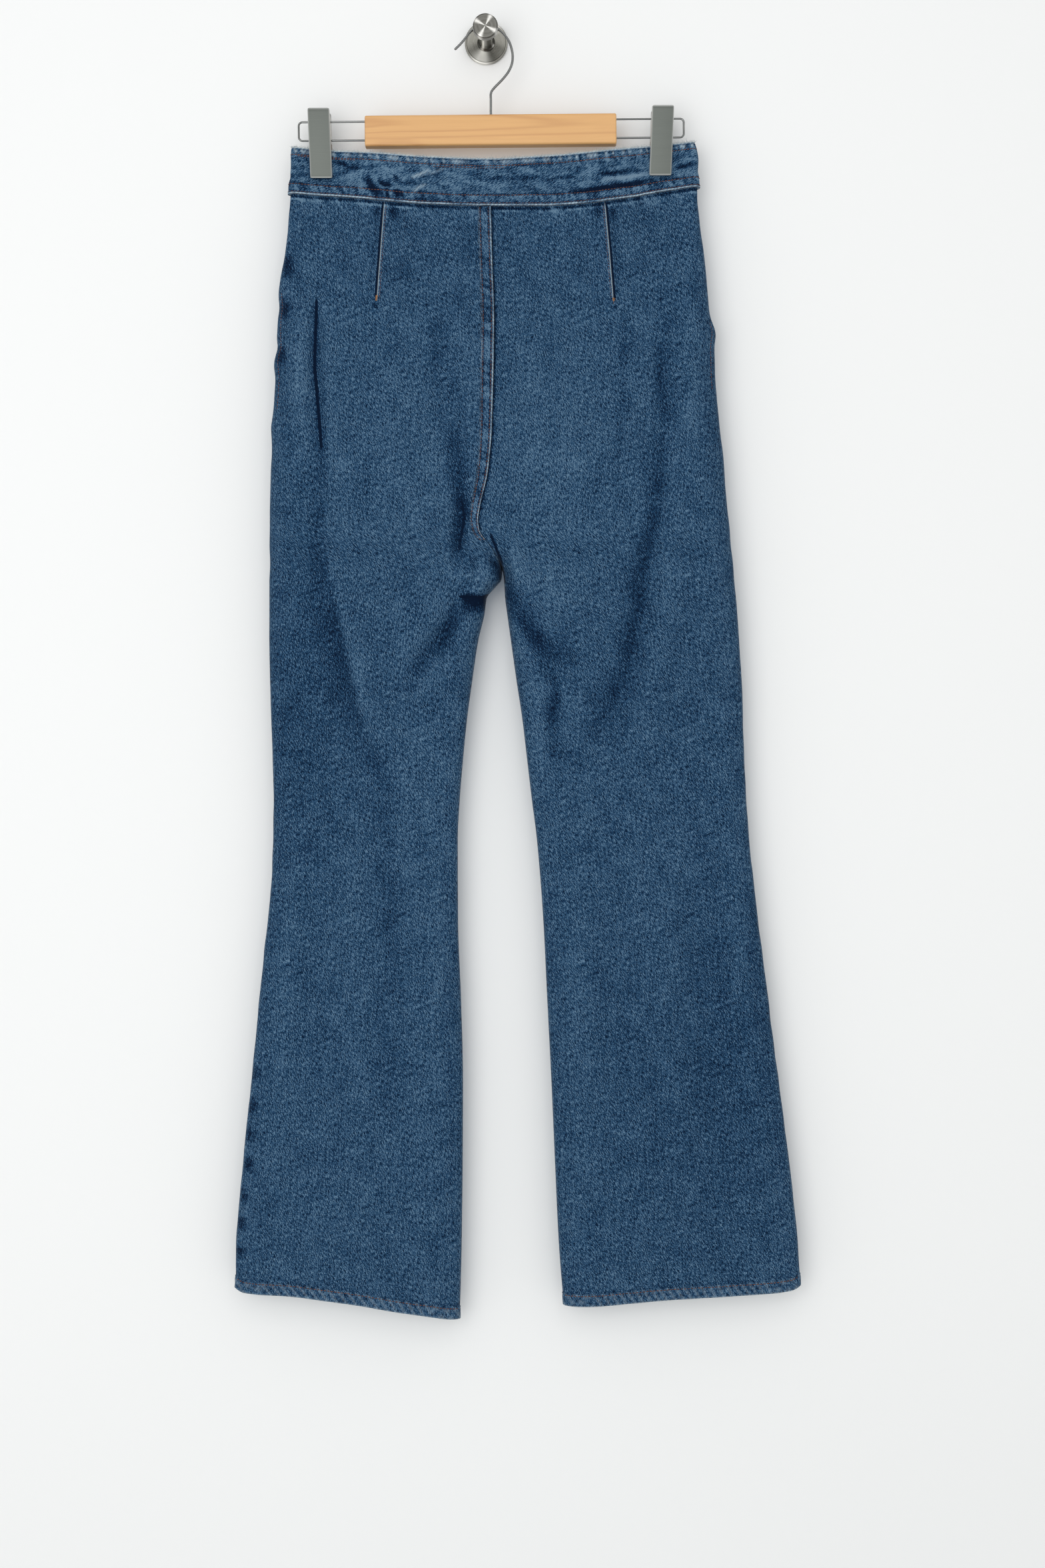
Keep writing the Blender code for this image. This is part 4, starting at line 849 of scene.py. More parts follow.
# contours: thin lines where a slow noise, long along X, passes even heights, as growth rings do on a sawn face
slow = sums(lined, "MULTIPLY", noise(lined, place, 0.085, 0.0), 95.0)
put_out(
    lined, give,
    Lines=noise(lined, place, 1.0, 2.0, 0.6),
    Broad=noise(lined, place, 0.16, 1.0),
    Contours=sums(lined, "POWER", wave(lined, slow), 5.0),
)
print("groups:", [g.name for g in bpy.data.node_groups])

# %% [markdown]
# ## Washed denim
# Denim is woven from blue warp and pale weft, so up close it is slanting streaks of light on dark. Washing fades the
# crests and leaves the creases darker, and seam edges rub almost white. The colour starts as a ramp over streaks and
# speckle and shifts with the numbers stored on the cloth: faded dye and painted shade, and the relief, which pales the
# crests and paints shade into the creases. Thin painted shadow lines darken it along darts and deep creases, and it
# ends in the rubbed edges. The reverse shows more of the pale weft.

# %% The denim material
def mark(tree, name):
    """The number stored on the cloth's points under this name."""
    return add(tree, "ShaderNodeAttribute", attribute_name=name, attribute_type="GEOMETRY").outputs["Fac"]


def bumpy(tree, shader, height, strength, distance):
    """A bump: a height of 0 to 1 stands for this distance in metres, at full strength."""
    bump = add(tree, "ShaderNodeBump", {"Height": height, "Strength": strength, "Distance": distance})
    tree.links.new(bump.outputs[0], shader.inputs["Normal"])


def peak(tree, distance, half):
    """1 - |distance| / half, never under 0."""
    return sums(tree, "SUBTRACT", 1.0, sums(tree, "DIVIDE", sums(tree, "ABSOLUTE", distance), half), clamp=True)


def washed_denim(name, lean, ticks_lean=0.6, lift=0.0, relief=0.10):
    """Denim whose twill leans by `lean` radians; lift makes it paler, relief how much paler the crests come out and how
    much shade is painted into the creases.
    """
    dull = dict(Roughness=0.92, Specular_IOR_Level=0.08, Sheen_Weight=0.015, Sheen_Roughness=0.45)
    material, tree, shader = new_finish(name, **dull)
    cloth_map = add(tree, "ShaderNodeUVMap", uv_map="cloth").outputs[0]
    weave = add(tree, "ShaderNodeGroup", node_tree=twill)
    wear = add(tree, "ShaderNodeGroup", node_tree=rubbed)
    for group, its_lean in ((weave, lean), (wear, ticks_lean)):
        tree.links.new(cloth_map, group.inputs["Cloth map"])
        group.inputs["Lean"].default_value = its_lean
    tree.links.new(mark(tree, "wear"), wear.inputs["Wear"])
    # tone: 0.5 is the mean blue
    tone = swing(tree, weave.outputs["Streaks"], 1.9, 0.5 + lift)
    tone = swing(tree, weave.outputs["Speckle"], 2.05, tone)
    tone = swing(tree, weave.outputs["Clouds"], 0.46, tone)
    # fade: faded dye with painted shade and a little painted light; relief: paler crests and painted shade in the
    # creases
    for key, share in (("fade", 0.42), ("relief", relief)):
        tone = sums(tree, "MULTIPLY_ADD", mark(tree, key), share, tone)
    # thin lines: the worn pale one 0.7 mm to each side of its middle, the painted shadow line beside it
    distance = mark(tree, "line")
    pale_line = sums(tree, "MULTIPLY", peak(tree, distance, 0.7), mark(tree, "line_pale"), clamp=True)
    painted_shade_line = peak(tree, sums(tree, "SUBTRACT", distance, 1.2), 1.7)
    tone = sums(tree, "MULTIPLY_ADD", sums(tree, "MULTIPLY", painted_shade_line, mark(tree, "line_painted_shade")), -0.7, tone)
    ramp = add(tree, "ShaderNodeValToRGB", {"Fac": tone})
    stops = (0.0, 0.28, 0.5, 0.72, 1.0)
    blues = ((4, 20, 42), (16, 45, 74), (33, 67, 98), (56, 88, 118), (96, 124, 147))
    for stop in stops[1:-1]:
        ramp.color_ramp.elements.new(stop)
    for element, stop, blue in zip(ramp.color_ramp.elements, stops, blues):
        element.position, element.color = stop, (*srgb(*blue), 1)
    speckled = sums(tree, "MULTIPLY_ADD", weave.outputs["Speckle"], 1.4, -0.05)
    worn = sums(tree, "MULTIPLY_ADD", pale_line, speckled, wear.outputs["Mask"], clamp=True)
    face = blend_colours(tree, worn, ramp.outputs["Color"], srgb(188, 204, 212))
    pale_weft = blend_colours(tree, weave.outputs["Streaks"], srgb(96, 118, 138), srgb(176, 188, 196))
    tree.links.new(blend_colours(tree, mark(tree, "reverse"), face, pale_weft), shader.inputs["Base Color"])
    height = sums(tree, "MULTIPLY", weave.outputs["Ribs"], 0.35)
    height = sums(tree, "MULTIPLY_ADD", weave.outputs["Streaks"], 0.7, height)
    height = sums(tree, "MULTIPLY_ADD", weave.outputs["Clouds"], 0.25, height)
    bumpy(tree, shader, height, 0.35, 0.00022)
    return material


panel_denim = washed_denim("denim_panels", 1.18)
band_denim = washed_denim("denim_waistband", -0.62, lift=0.01, relief=0.34)
seam_denim = washed_denim("denim_seams", 1.18, ticks_lean=2.2, lift=0.05)
print("denim materials:", [m.name for m in bpy.data.materials if m.name.startswith("denim")])

# %% [markdown]
# ## The four panels
# Two backs and two fronts, each cut in one piece from waist to hem. The hem is turned up once and stitched,
# so its band stands a little proud and ropes into slanting ridges after washing. Rows are packed closest at
# the crotch and the hem, where the shape turns fastest.

# %% Cut the panels
def fine_levels(step):
    """Levels down a panel: the same seams as the solid, with `step` millimetres between rows."""
    low = HEM_LEVEL + HEM_TALL
    return np.concatenate(
        [
            BAND_LOW + np.array([8, 4, 1, -0.6, -1.8, -2.8, -3.8, -4.8, -5.8, -7.2]),
            np.arange(BAND_LOW - 9.0, -440.0, -step),
            np.arange(-441.0, -560.0, -0.8 * step),
            np.arange(-561.5, low - 2.0 + step, -1.12 * step)[:-1],
            [low + 2.0, low + 0.7, low],
            np.linspace(low - 1.3, HEM_LEVEL, 9),
        ]
    )


def fine_columns(flat):
    """Columns: eight round the side, `flat` steps across, and eight round the inside leg."""
    turned = 8
    turn = 1 - np.cos(np.radians(np.linspace(0, 78, turned)))
    outer = np.concatenate([turn, np.ones(flat + 1 + turned)])
    middle = np.concatenate([np.zeros(turned), np.arange(flat + 1) / flat, np.ones(turned)])
    inner = np.concatenate([np.zeros(turned + flat + 1), 1 - turn[::-1]])
    return outer, middle, inner


def cut_panel(side, face, step, flat):
    """The panel's shell: the form, lifted and roped at the hem, with its reverse inside it."""
    points, normal, field = form(side, face, fine_levels(step), *fine_columns(flat))
    level, x, z = field["level"], field["x"], field["z"]
    over_hem, under_band = level - HEM_LEVEL, level - BAND_LOW
    in_hem = (over_hem <= HEM_TALL + 0.1).astype(float)
    rope = np.sin(2 * np.pi * (x * 0.82 + z * 0.57) / 6.6 + 2.4 * soft_noise(x, z, 24.0, 24.0, 3))
    lift = in_hem * (HEM_EXTRA + 0.13 * rope - 0.25 * bell(over_hem - HEM_ROW, 0.9))
    outside = moved(points, normal, lift, face)
    inside = moved(points, normal, -CLOTH - HEM_EXTRA * in_hem, face)
    wear = in_hem * (0.20 * np.clip(rope, 0, 1) ** 2 + 0.4 * bell(over_hem, 0.7))
    wear = wear + 0.10 * bell(field["side"], 1.2) * (level < -170)
    wear = wear + 0.08 * seam_turn(z) * bell(field["inside_leg"], 1.2)
    # round patches of faded dye and painted shade, and a painted shadow along the hem's upper edge
    shade = fade_at(x, z) - 0.2 * bell(over_hem - HEM_TALL - 1.2, 1.6)
    if face == "back":
        # frosty puckers under the band, a painted shadow just under the band's edge, the painted shade of the folds
        # from SHADES, and on the right panel a painted shadow beside the centre seam's ridge
        pucker = soft_noise(x + 0.55 * z, z, 2.6, 30.0, 91)
        shade = shade + 1.5 * np.clip(pucker, 0, 1) * bell(np.maximum(-under_band - 2.5, 0), 7.0)
        frost = 0.25 + ripple(x, 26.0, 99) + 0.5 * ripple(x, 4.0, 90)
        shade = shade + 1.9 * np.clip(frost, 0, 1) * bell(under_band + 4.3, 0.9) - 1.5 * bell(under_band + 1.8, 1.3)
        shade = shade + 1.15 * fold_height(SHADES, x, z)
        if side == "right":
            shade = shade - 1.3 * bell(field["inside_leg"], 1.6) * (z > CROTCH_TOP)
    marks = thin_lines(THIN if face == "back" else None, x, z)
    marks.update(
        wear=np.clip(wear, 0, 1),
        fade=shade + in_hem * (0.12 - 0.28 * np.clip(-rope, 0, 1) ** 2),
        relief=np.clip(field["relief"], -1.2, 1.2),
    )
    cloth_map = cloth_map_of(points, points.shape[1] // 2)
    made = shell(f"jeans_{face}_{side}", outside, inside, panel_denim, marks, cloth_map)
    print(made.name, points.shape[:2], "grid,", len(made.data.polygons), "faces")
    return dict(object=made, points=outside, normal=normal, **field)


panels = {}
for side in ("left", "right"):
    panels["back", side] = cut_panel(side, "back", 2.45, 74)
    panels["front", side] = cut_panel(side, "front", 4.2, 46)

# %% [markdown]
# ## The waistband
# The band is a double strip of denim that wraps the waist. Its back is one piece, and its front is two, lapped
# left over right. The upper edge is left raw. The lower edge is folded and rubs to a pale rope, so the rows
# there are half a millimetre apart. Old creases cross it where the clips and the wearer have bent it.

# %% Cut the waistband
# height is in millimetres, wear is the dye rubbed off along the line, and shade is painted shade (under 0) and painted
# highlight (over 0) along it
BAND_CREASES = table(FOLD + " wear shade", [
    (-142.8, -118.3, -128.6, -124.5, -113.2, -126.9, 2.2, 2.6, -0.8, 0, -0.7),
    (-111.3, -134.3, -106.4, -142.4, -102.7, -151.6, 3, 3.2, -1.2, 0, 0),
    (-100.2, -138, -94.7, -143, -85.4, -146.1, 2.2, 3, -1.2, 0, -1.2),
    (-86.7, -134.3, -82.3, -138, -76.8, -140.5, 2.2, 2.2, -1, 0, -1),
    (-85.4, -149.1, -79.3, -152.8, -71.9, -155.3, 2.2, 2.2, -0.9, 0, 0),
    (-69.4, -137.4, -60.8, -134.3, -50.9, -129.4, 1.2, 1.2, 0.8, 0.5, 0),
    (-66.9, -151.6, -62, -146.7, -54.6, -143, 1.2, 1.2, 0.7, 0.4, 0),
    (-54.6, -134.3, -47.2, -131.9, -37.3, -128.2, 1.2, 1.2, 0.5, 0.2, 0),
    (-22.8, -129, -23.2, -141, -22.8, -152, 0.9, 0.9, -0.6, 0, 0),
    (74.9, -151.6, 105.7, -147.9, 147.7, -139.3, 2.6, 3, -1.1, 0, -1.2),
    (105.7, -139.3, 130.4, -135.6, 152, -130.6, 1.6, 1.6, 0.8, 0.15, 0.6),
    (105.7, -134.3, 118.1, -131.9, 136.6, -128.2, 2, 2.2, -0.8, 0, -0.8),
    (22, -134, 40, -137, 58, -134, 3, 3, -0.5, 0, 0),
    (170.5, -126.9, 182.8, -124.5, 194.5, -120.8, 2, 2, -0.7, 0, 0),
    (-111.3, -134.3, -106.4, -142.4, -102.7, -151.6, 3.4, 3.6, 0, 0, -1.3),
    (-85.4, -149.1, -79.3, -152.8, -71.9, -155.3, 2.4, 2.4, 0, 0, -0.9),
    (-76.8, -157.8, -54.6, -157.8, -32.4, -159.6, 1.6, 1.6, 0, 0, -0.5),
    (-159.4, -134.3, -140.9, -134.3, -128.6, -130.6, 2.4, 2.4, 0, 0, -0.6),
    (-17.6, -134.3, 7.1, -139.3, 37.9, -138, 3.4, 3.4, 0, 0, -0.45),
    (19.4, -125.7, 44.1, -126.9, 62.6, -124.5, 2, 2.4, 0, 0, -0.5),
    (44.1, -140.5, 62.6, -139.3, 81.1, -134.3, 2.4, 2.4, 0, 0, -0.5),
    (121.1, -144.2, 136.6, -140.5, 158.1, -136.8, 2, 2, 0, 0, -0.9),
    (170.5, -126.9, 182.8, -124.5, 194.5, -120.8, 1.8, 1.8, 0, 0, -0.6),
    (167.4, -134.3, 179.7, -133.1, 194.5, -131.9, 1.6, 1.6, 0, 0, 0.35),
    (-105, -146, -101.5, -151, -99, -157, 3.4, 3.4, 0, 0, -1.1),  # dashes over the lower row of stitches
    (-92.5, -147, -91, -152, -90, -158, 1.8, 1.8, 0, 0, -1),
    (-83, -147, -82, -152, -81, -158, 2.6, 2.6, 0, 0, -1),
    (98, -146, 99.5, -151, 101, -157, 2.4, 2.4, 0, 0, -0.8),
])
BAND_HEIGHTS = np.concatenate(
    [
        [43.0, 42.6, 42.0, 41.3, 40.4, 39.2, 37.8, 36.2, 35.0, 34.2],
        np.arange(33.0, 11.0, -1.15),
        [10.2, 9.3, 8.4, 7.2, 6.0, 4.9, 3.9, 3.0, 2.3, 1.9, 1.4, 0.9, 0.45, 0.0],
    ]
)


def band_lift(height):
    """How far the band's reverse stands off the form: clear over the panels, sunk in above them."""
    return -1.3 + (GAP + 1.3) * ease((17.0 - height) / 8.0)


def cut_band(name, parts, face, lap=0.0, top_drop=0.0):
    """A strip of the form between the band's two edges, creased, with a thin raw top and a rolled lower edge."""
    points, normal = (np.concatenate([part[k] for part in parts], axis=1) for k in (0, 1))
    x, z = points[..., 0], points[..., 2]
    height = np.broadcast_to(BAND_HEIGHTS[:, None], x.shape)
    points[..., 2] -= top_drop * ease((height - 20.0) / 23.0)
    creases, crease_wear, crease_shade = (
        fold_height(BAND_CREASES, x, z, key) if face == "back" else 0.0 * x for key in ("height", "wear", "shade")
    )
    dents = 0.45 * soft_noise(x + z, z, 15.0, 16.0, 61) + 0.2 * soft_noise(x + 0.7 * z, z, 5.0, 13.0, 62)
    over_high, over_low = height - BAND_ROW_HIGH, height - BAND_ROW_LOW
    pulled = 0.28 * (bell(over_high, 2.5) + bell(over_low, 2.2)) * ripple(x + 0.5 * z, 3.4, 63)
    groove = -0.22 * (bell(over_high, 0.9) + bell(over_low, 0.8))
    rolled = 0.45 * bell(height - 1.1, 1.3) + 0.10 * bell(height - 1.1, 1.2) * np.sin(2 * np.pi * x / 2.8)
    away = ease((height - 1.5) / 5.0)
    relief = (creases + dents) * away + pulled + groove + rolled
    lift = band_lift(height) + lap
    outside = moved(points, normal, lift + BAND_WALL - 0.5 * ease((height - 41.0) / 2.0) + relief, face)
    inside = moved(points, normal, lift + 0.15 * (creases + dents) * away, face)
    # the lower edge is rubbed in patches, most towards the sides; the raw top all along it
    chance = 0.55 + 0.45 * ease((np.abs(x - 8.0) - 80.0) / 50.0) + 0.6 * ripple(x, 9.0, 92) + 0.3 * ripple(x, 2.6, 95)
    wear = 0.9 * np.clip(chance, 0.05, 1) * bell(height - 0.8, 0.5) + 0.95 * ease((height - 41.7) / 0.7)
    wear = wear + 0.8 * bell(height - 39.6, 1.6) * np.clip(ripple(x + 0.12 * z, 1.9, 93), 0, 1) + crease_wear
    # painted shade along both rows of stitches and both edges, blotched tone between them, painted shade and light over
    # the puckers beside the rows, and the creases' painted shade and highlight
    fade = 0.30 - 1.3 * bell(height - 40.9, 0.6) - 1.1 * bell(height - 9.9, 0.9) - 0.9 * bell(height - 36.9, 0.8)
    fade = fade - 1.3 * bell(height - 2.2, 0.7) - 1.2 * bell(height, 0.3) + 0.25 * bell(height - 39.0, 3.0)
    blotch = soft_noise(x + 1.6 * z, z - 0.3 * x, 13.0, 5.0, 96) + 0.6 * soft_noise(x - 0.8 * z, z, 5.0, 3.4, 97)
    fade = fade + 0.85 * blotch * bell(height - 22.0, 15.0) + 1.6 * crease_shade
    fade = fade + soft_noise(x + 0.4 * z, z, 2.2, 12.0, 94) * (bell(height - 36, 4.0) + bell(height - 7, 4.0))
    fine = 1.2 * (relief - smoothed(relief, 4))
    marks = dict(wear=np.clip(wear, 0, 1), fade=fade, relief=np.clip(fine, -1.3, 1.3), **thin_lines(None, x, z))
    cloth_map = cloth_map_of(points, points.shape[1] // 2)
    made = shell(name, outside, inside, band_denim, marks, cloth_map)
    print(name, x.shape, "grid,", round(float(np.ptp(x)), 1), "mm wide")
    return dict(object=made, points=outside, normal=normal, height=height)


strip = {
    (face, side): form(side, face, BAND_LOW + BAND_HEIGHTS, *fine_columns(118 if face == "back" else 60))
    for face, side in panels
}
across = [strip["back", "left"], [a[:, 1:] for a in strip["back", "right"][:2]]]
bands = {
    "back": cut_band("waistband_back", across, "back"),
    "front_right": cut_band("waistband_front_right", [strip["front", "right"]], "front", top_drop=FRONT_DROP),
}
lap_end = int(np.searchsorted(strip["front", "right"][0][20, :, 0], 32.0))
over = [strip["front", "left"], [a[:, 1:lap_end] for a in strip["front", "right"][:2]]]
lap_x = np.concatenate([part[0][20, :, 0] for part in over])
lap_lift = (BAND_WALL + GAP) * ease((lap_x + 14.0) / 16.0)[None, :]
bands["front_left"] = cut_band("waistband_front_left", over, "front", lap=lap_lift, top_drop=FRONT_DROP)

# %% [markdown]
# ## Felled seam and fly
# The centre back seam is felled: one edge is folded over the other and sewn down with two rows, which leaves
# a flat strip on the left panel whose fold rubs white. The fly is a flat lap on the left front. Both are made
# from the panel's own points, moved out by the gap between neighbours, so they lie on it wherever it goes.

# %% Seam strip and fly lap
def cut_strip(name, side, face, level, inner, wall_of, marks_of):
    """A strip beside the panel's inner edge: the form at those columns, lifted to lie on the panel."""
    points, normal, field = form(side, face, level, np.ones(len(inner)), np.ones(len(inner)), inner)
    share = (inner - inner[0]) / (inner[-1] - inner[0])
    share = np.broadcast_to(share, field["x"].shape)
    outside = moved(points, normal, GAP + wall_of(share, field), face)
    inside = moved(points, normal, GAP, face)
    made = shell(name, outside, inside, seam_denim, marks_of(share, field), cloth_map_of(points, 0))
    print(name, field["x"].shape, "grid")
    return dict(object=made, points=outside, normal=normal, share=share, **field)


def fell_wall(t, f):
    """The felled strip's thickness: thin where it comes out of the seam, grooved along both rows, and puckered."""
    plain = SEAM_WALL * (0.55 + 0.45 * ease(t / 0.15)) + 0.25 * bell(t - 0.93, 0.07)
    grooves = 0.2 * (bell(t - FELL_ROWS[0], 0.06) + bell(t - FELL_ROWS[1], 0.05))
    return plain - grooves + 0.12 * ripple(f["z"] + 6 * t, 3.2, 71)


def fell_marks(t, f):
    """Rubbed along its fold, with painted shade along both rows of stitches and painted shade and light dappled over
    the puckers.
    """
    pucker = ripple(f["z"] + 5 * t, 3.2, 71)
    wear = (0.7 + 0.35 * ripple(f["z"], 9.0, 98)) * bell(t - 0.95, 0.04) + 0.1 * bell(t, 0.08)
    fade = 0.02 - 1.4 * bell(t - FELL_ROWS[0], 0.07) - 1.3 * bell(t - 0.78, 0.07) - 0.6 * bell(t - 1.0, 0.03)
    fade = fade + 0.6 * pucker
    return dict(wear=np.clip(wear, 0, 1), fade=fade, relief=0.4 * pucker, **thin_lines(None, t, t))


def fly_wall(t, f):
    """The fly lap's thickness: thin at the centre line, with a small bead at its stitched edge."""
    return SEAM_WALL * (0.6 + 0.4 * ease(t / 0.08)) + 0.2 * bell(t - 0.97, 0.03)


def fly_marks(t, f):
    """A little paler than the panel, and rubbed at its edge."""
    relief = 0.3 * soft_noise(f["x"], f["z"], 6.0, 9.0, 73)
    return dict(wear=0.7 * bell(t - 0.98, 0.03), fade=0.2 + 0 * t, relief=relief, **thin_lines(None, t, t))


fell_levels = np.arange(BAND_LOW - 0.6, CROTCH_TOP - 10.0, -1.7)
fell_inner = np.linspace(0.707, 1.0, 15)
fell = cut_strip("centre_back_fell", "left", "back", fell_levels, fell_inner, fell_wall, fell_marks)
fly_levels = np.arange(BAND_LOW - 0.6, BAND_LOW - FLY_TALL, -2.4)
fly = cut_strip("fly_lap", "left", "front", fly_levels, np.linspace(0.0, 1.0, 22), fly_wall, fly_marks)

# %% [markdown]
# ## Stitches
# Every seam is held by a row of lockstitches in rust-brown thread, about 3 mm long, each end pulled down
# into the cloth. One stitch is a capsule of 28 faces. A row is that capsule carried to even steps along a
# path on the cloth: its length along the path, its width across, its height along the cloth's normal.

# %% Thread and stitch rows
def thread_finish(name, light, dark):
    """Twisted thread: colour varies in short turns along the row."""
    material, tree, shader = new_finish(name, Roughness=0.8)
    place = add(tree, "ShaderNodeTexCoord").outputs["Object"]
    twist, patch = noise(tree, place, 900.0, 2.0), noise(tree, place, 140.0, 1.0)
    mean = sums(tree, "ADD", sums(tree, "MULTIPLY", twist, 0.5), sums(tree, "MULTIPLY", patch, 0.5))
    colour = blend_colours(tree, swing(tree, mean, 2.4, 0.5, clamp=True), dark, light)
    tree.links.new(colour, shader.inputs["Base Color"])
    bumpy(tree, shader, twist, 0.5, 0.0002)
    return material


rust_thread = thread_finish("rust_thread", srgb(120, 76, 60), srgb(40, 34, 44))
orange_thread = thread_finish("orange_thread", srgb(196, 146, 96), srgb(112, 76, 58))
pale_thread = thread_finish("pale_thread", srgb(226, 230, 226), srgb(158, 172, 182))


def length_along(path):
    """The length of the path up to each of its points."""
    return np.concatenate([[0.0], np.cumsum(np.linalg.norm(np.diff(path, axis=0), axis=1))])


def at_length(at, length, values):
    """Rows of values read off at these lengths."""
    return np.stack([np.interp(at, length, values[:, k]) for k in range(3)], -1)


def even_steps(path, normal, pitch):
    """Middles, directions and normals at every `pitch` millimetres of the path's length."""
    length = length_along(path)
    at = np.arange(pitch / 2, length[-1], pitch)
    ahead = unit(at_length(at + 0.3 * pitch, length, path) - at_length(at - 0.3 * pitch, length, path))
    up = at_length(at, length, normal)
    return at_length(at, length, path), ahead, unit(up - ahead * np.sum(up * ahead, axis=1, keepdims=True))


def stitch_row(path, normal, pitch=3.1, length=2.5, radius=0.34, lean=0.0, seed=1, sunk=0.35):
    """Points and faces of a row of capsules, each end sunk by an arch.

    point = middle + along * length * t + across * radius * cos a + up * (radius * sin a + arch)"""
    middle, ahead, up = even_steps(path, normal, pitch)
    chance = np.random.default_rng(seed)
    across = np.cross(up, ahead)
    turn = lean + chance.normal(0, 0.05, (len(middle), 1))
    ahead, across = ahead * np.cos(turn) + across * np.sin(turn), across * np.cos(turn) - ahead * np.sin(turn)
    t = np.array([-0.5, -0.34, 0.0, 0.34, 0.5])[None, :, None, None]
    thick = np.array([0.3, 0.85, 1.0, 0.85, 0.3])[None, :, None, None] * radius
    angle = (np.arange(6) * math.pi / 3)[None, None, :, None]
    long = (length * chance.uniform(0.86, 1.08, len(middle)))[:, None, None, None]
    arch = radius * (1 - sunk) - radius * 5.0 * t**2
    m, f, c, n = (v[:, None, None, :] for v in (middle, ahead, across, up))
    points = m + f * long * t + c * thick * np.cos(angle) + n * (thick * np.sin(angle) + arch)
    ends = [[0, 1, 2, 3], [0, 3, 4, 5], [27, 26, 25, 24], [29, 28, 27, 24]]
    one = np.concatenate([grid_quads(5, 6, closed=True), ends])
    quads = one[None] + (np.arange(len(middle)) * 30)[:, None, None]
    return points.reshape(-1, 3), quads.reshape(-1, 4)


stitches = []  # each sewn piece, with the cloth it belongs to


def sewn(name, rows, material, cloth):
    """Several rows as one piece on its cloth."""
    starts = np.cumsum([0] + [len(points) for points, _ in rows[:-1]])
    points = np.concatenate([points for points, _ in rows])
    quads = np.concatenate([quads + start for (_, quads), start in zip(rows, starts)])
    stitches.append((mesh_object(name, points, quads, material), cloth["object"]))
    print(name, len(quads) // 28, "stitches")


def on_cloth(piece, x, z):
    """Points and normals of a piece at these places: the nearest point of its grid, slid along its tangent plane."""
    flat, normals = piece["points"].reshape(-1, 3), piece["normal"].reshape(-1, 3)
    near = np.argmin((flat[:, 0] - x[:, None]) ** 2 + (flat[:, 2] - z[:, None]) ** 2, axis=1)
    p, n = flat[near], normals[near]
    facing = np.abs(n[:, 1]) > 0.3
    slid = -((x - p[:, 0]) * n[:, 0] + (z - p[:, 2]) * n[:, 2])
    depth = np.where(facing, slid / np.where(facing, n[:, 1], 1), 0)
    return np.stack([x, p[:, 1] + np.clip(depth, -1, 1), z], -1), n


def band_row(piece, height, low=-1e3, high=1e3):
    """The band's own row of points nearest this height, between two x."""
    row = int(np.argmin(np.abs(BAND_HEIGHTS - height)))
    path, normal = piece["points"][row], piece["normal"][row]
    keep = (path[:, 0] > low) & (path[:, 0] < high)
    return path[keep], normal[keep]


for key, piece in bands.items():
    row_heights = enumerate((BAND_ROW_HIGH, BAND_ROW_LOW))
    rows = [stitch_row(*band_row(piece, h), pitch=2.9, radius=0.42, seed=k) for k, h in row_heights]
    rows.append(stitch_row(*band_row(piece, BAND_ROW_EDGE), pitch=3.0, seed=5, radius=0.28))
    if key == "back":
        rows.append(stitch_row(*band_row(piece, 34.2, -50.0, 22.0), pitch=2.9, seed=7))
        rows.append(stitch_row(*band_row(piece, 35.0, -176.0, -120.0), pitch=2.9, seed=8))
    sewn(f"stitches_band_{key}", rows, rust_thread, piece)

# %% [markdown]
# The other rows follow the felled seam, the darts, the hems, the pocket mouths in the side seams and the
# curved row down the fly. Their paths are read off the cloth they are sewn to.

# %% Rows on the seam, darts, hems, pockets and fly
def column_row(piece, share, **settings):
    """A row down the strip at this share of its width."""
    column = int(np.argmin(np.abs(piece["share"][0] - share)))
    return stitch_row(piece["points"][:, column], piece["normal"][:, column], **settings)


rows = [column_row(fell, share, pitch=3.1, seed=seed) for share, seed in zip(FELL_ROWS, (11, 12))]
sewn("stitches_back_seam", rows, rust_thread, fell)
DART_ROWS = table("z left right", [(-157.1, -91.4, 108.2), (-206.4, -94.9, 112.4), (-252.0, -98.0, 116.2)])
for side, low in (("left", -249.0), ("right", -250.0)):
    z = np.linspace(-163.0, low, 60)
    piece = panels["back", side]
    rows = [stitch_row(*on_cloth(piece, along(DART_ROWS, side, z), z), pitch=2.7, length=2.1, radius=0.26, seed=14)]
    sewn(f"stitches_dart_{side}", rows, rust_thread, piece)
for (face, side), piece in panels.items():
    row = int(np.argmin(np.abs(piece["level"][:, 0] - (HEM_LEVEL + HEM_ROW))))
    path = piece["points"][row, 2:-2], piece["normal"][row, 2:-2]
    rows = [stitch_row(*path, pitch=3.2, radius=0.42, seed=20, sunk=0.1)]
    sewn(f"stitches_hem_{face}_{side}", rows, rust_thread, piece)
for side, column, top, low in (("left", 3, -242.0, -352.0), ("right", -4, -270.0, -334.0)):
    piece = panels["back", side]
    keep = (piece["z"][:, column] < top) & (piece["z"][:, column] > low)
    path = piece["points"][keep, column], piece["normal"][keep, column]
    rows = [stitch_row(*path, pitch=2.6, length=2.0, radius=0.3, seed=24)]
    sewn(f"stitches_pocket_{side}", rows, rust_thread, piece)
rows = [column_row(fly, 0.94, pitch=3.1, seed=31)]
t = np.linspace(0, 1, 90)
z = BAND_LOW - 6.0 - (FLY_TALL - 12.0) * t
x = fly["x"][0, 0] + 6.0 + 26.0 * ease((t - 0.72) / 0.28) ** 1.4
for step in (0.0, 6.0):
    path = on_cloth(fly, x + step * (1 - 0.3 * t), z + 0.8 * step * ease((t - 0.8) / 0.2))
    rows.append(stitch_row(*path, pitch=3.0, seed=33))
sewn("stitches_fly", rows, rust_thread, fly)

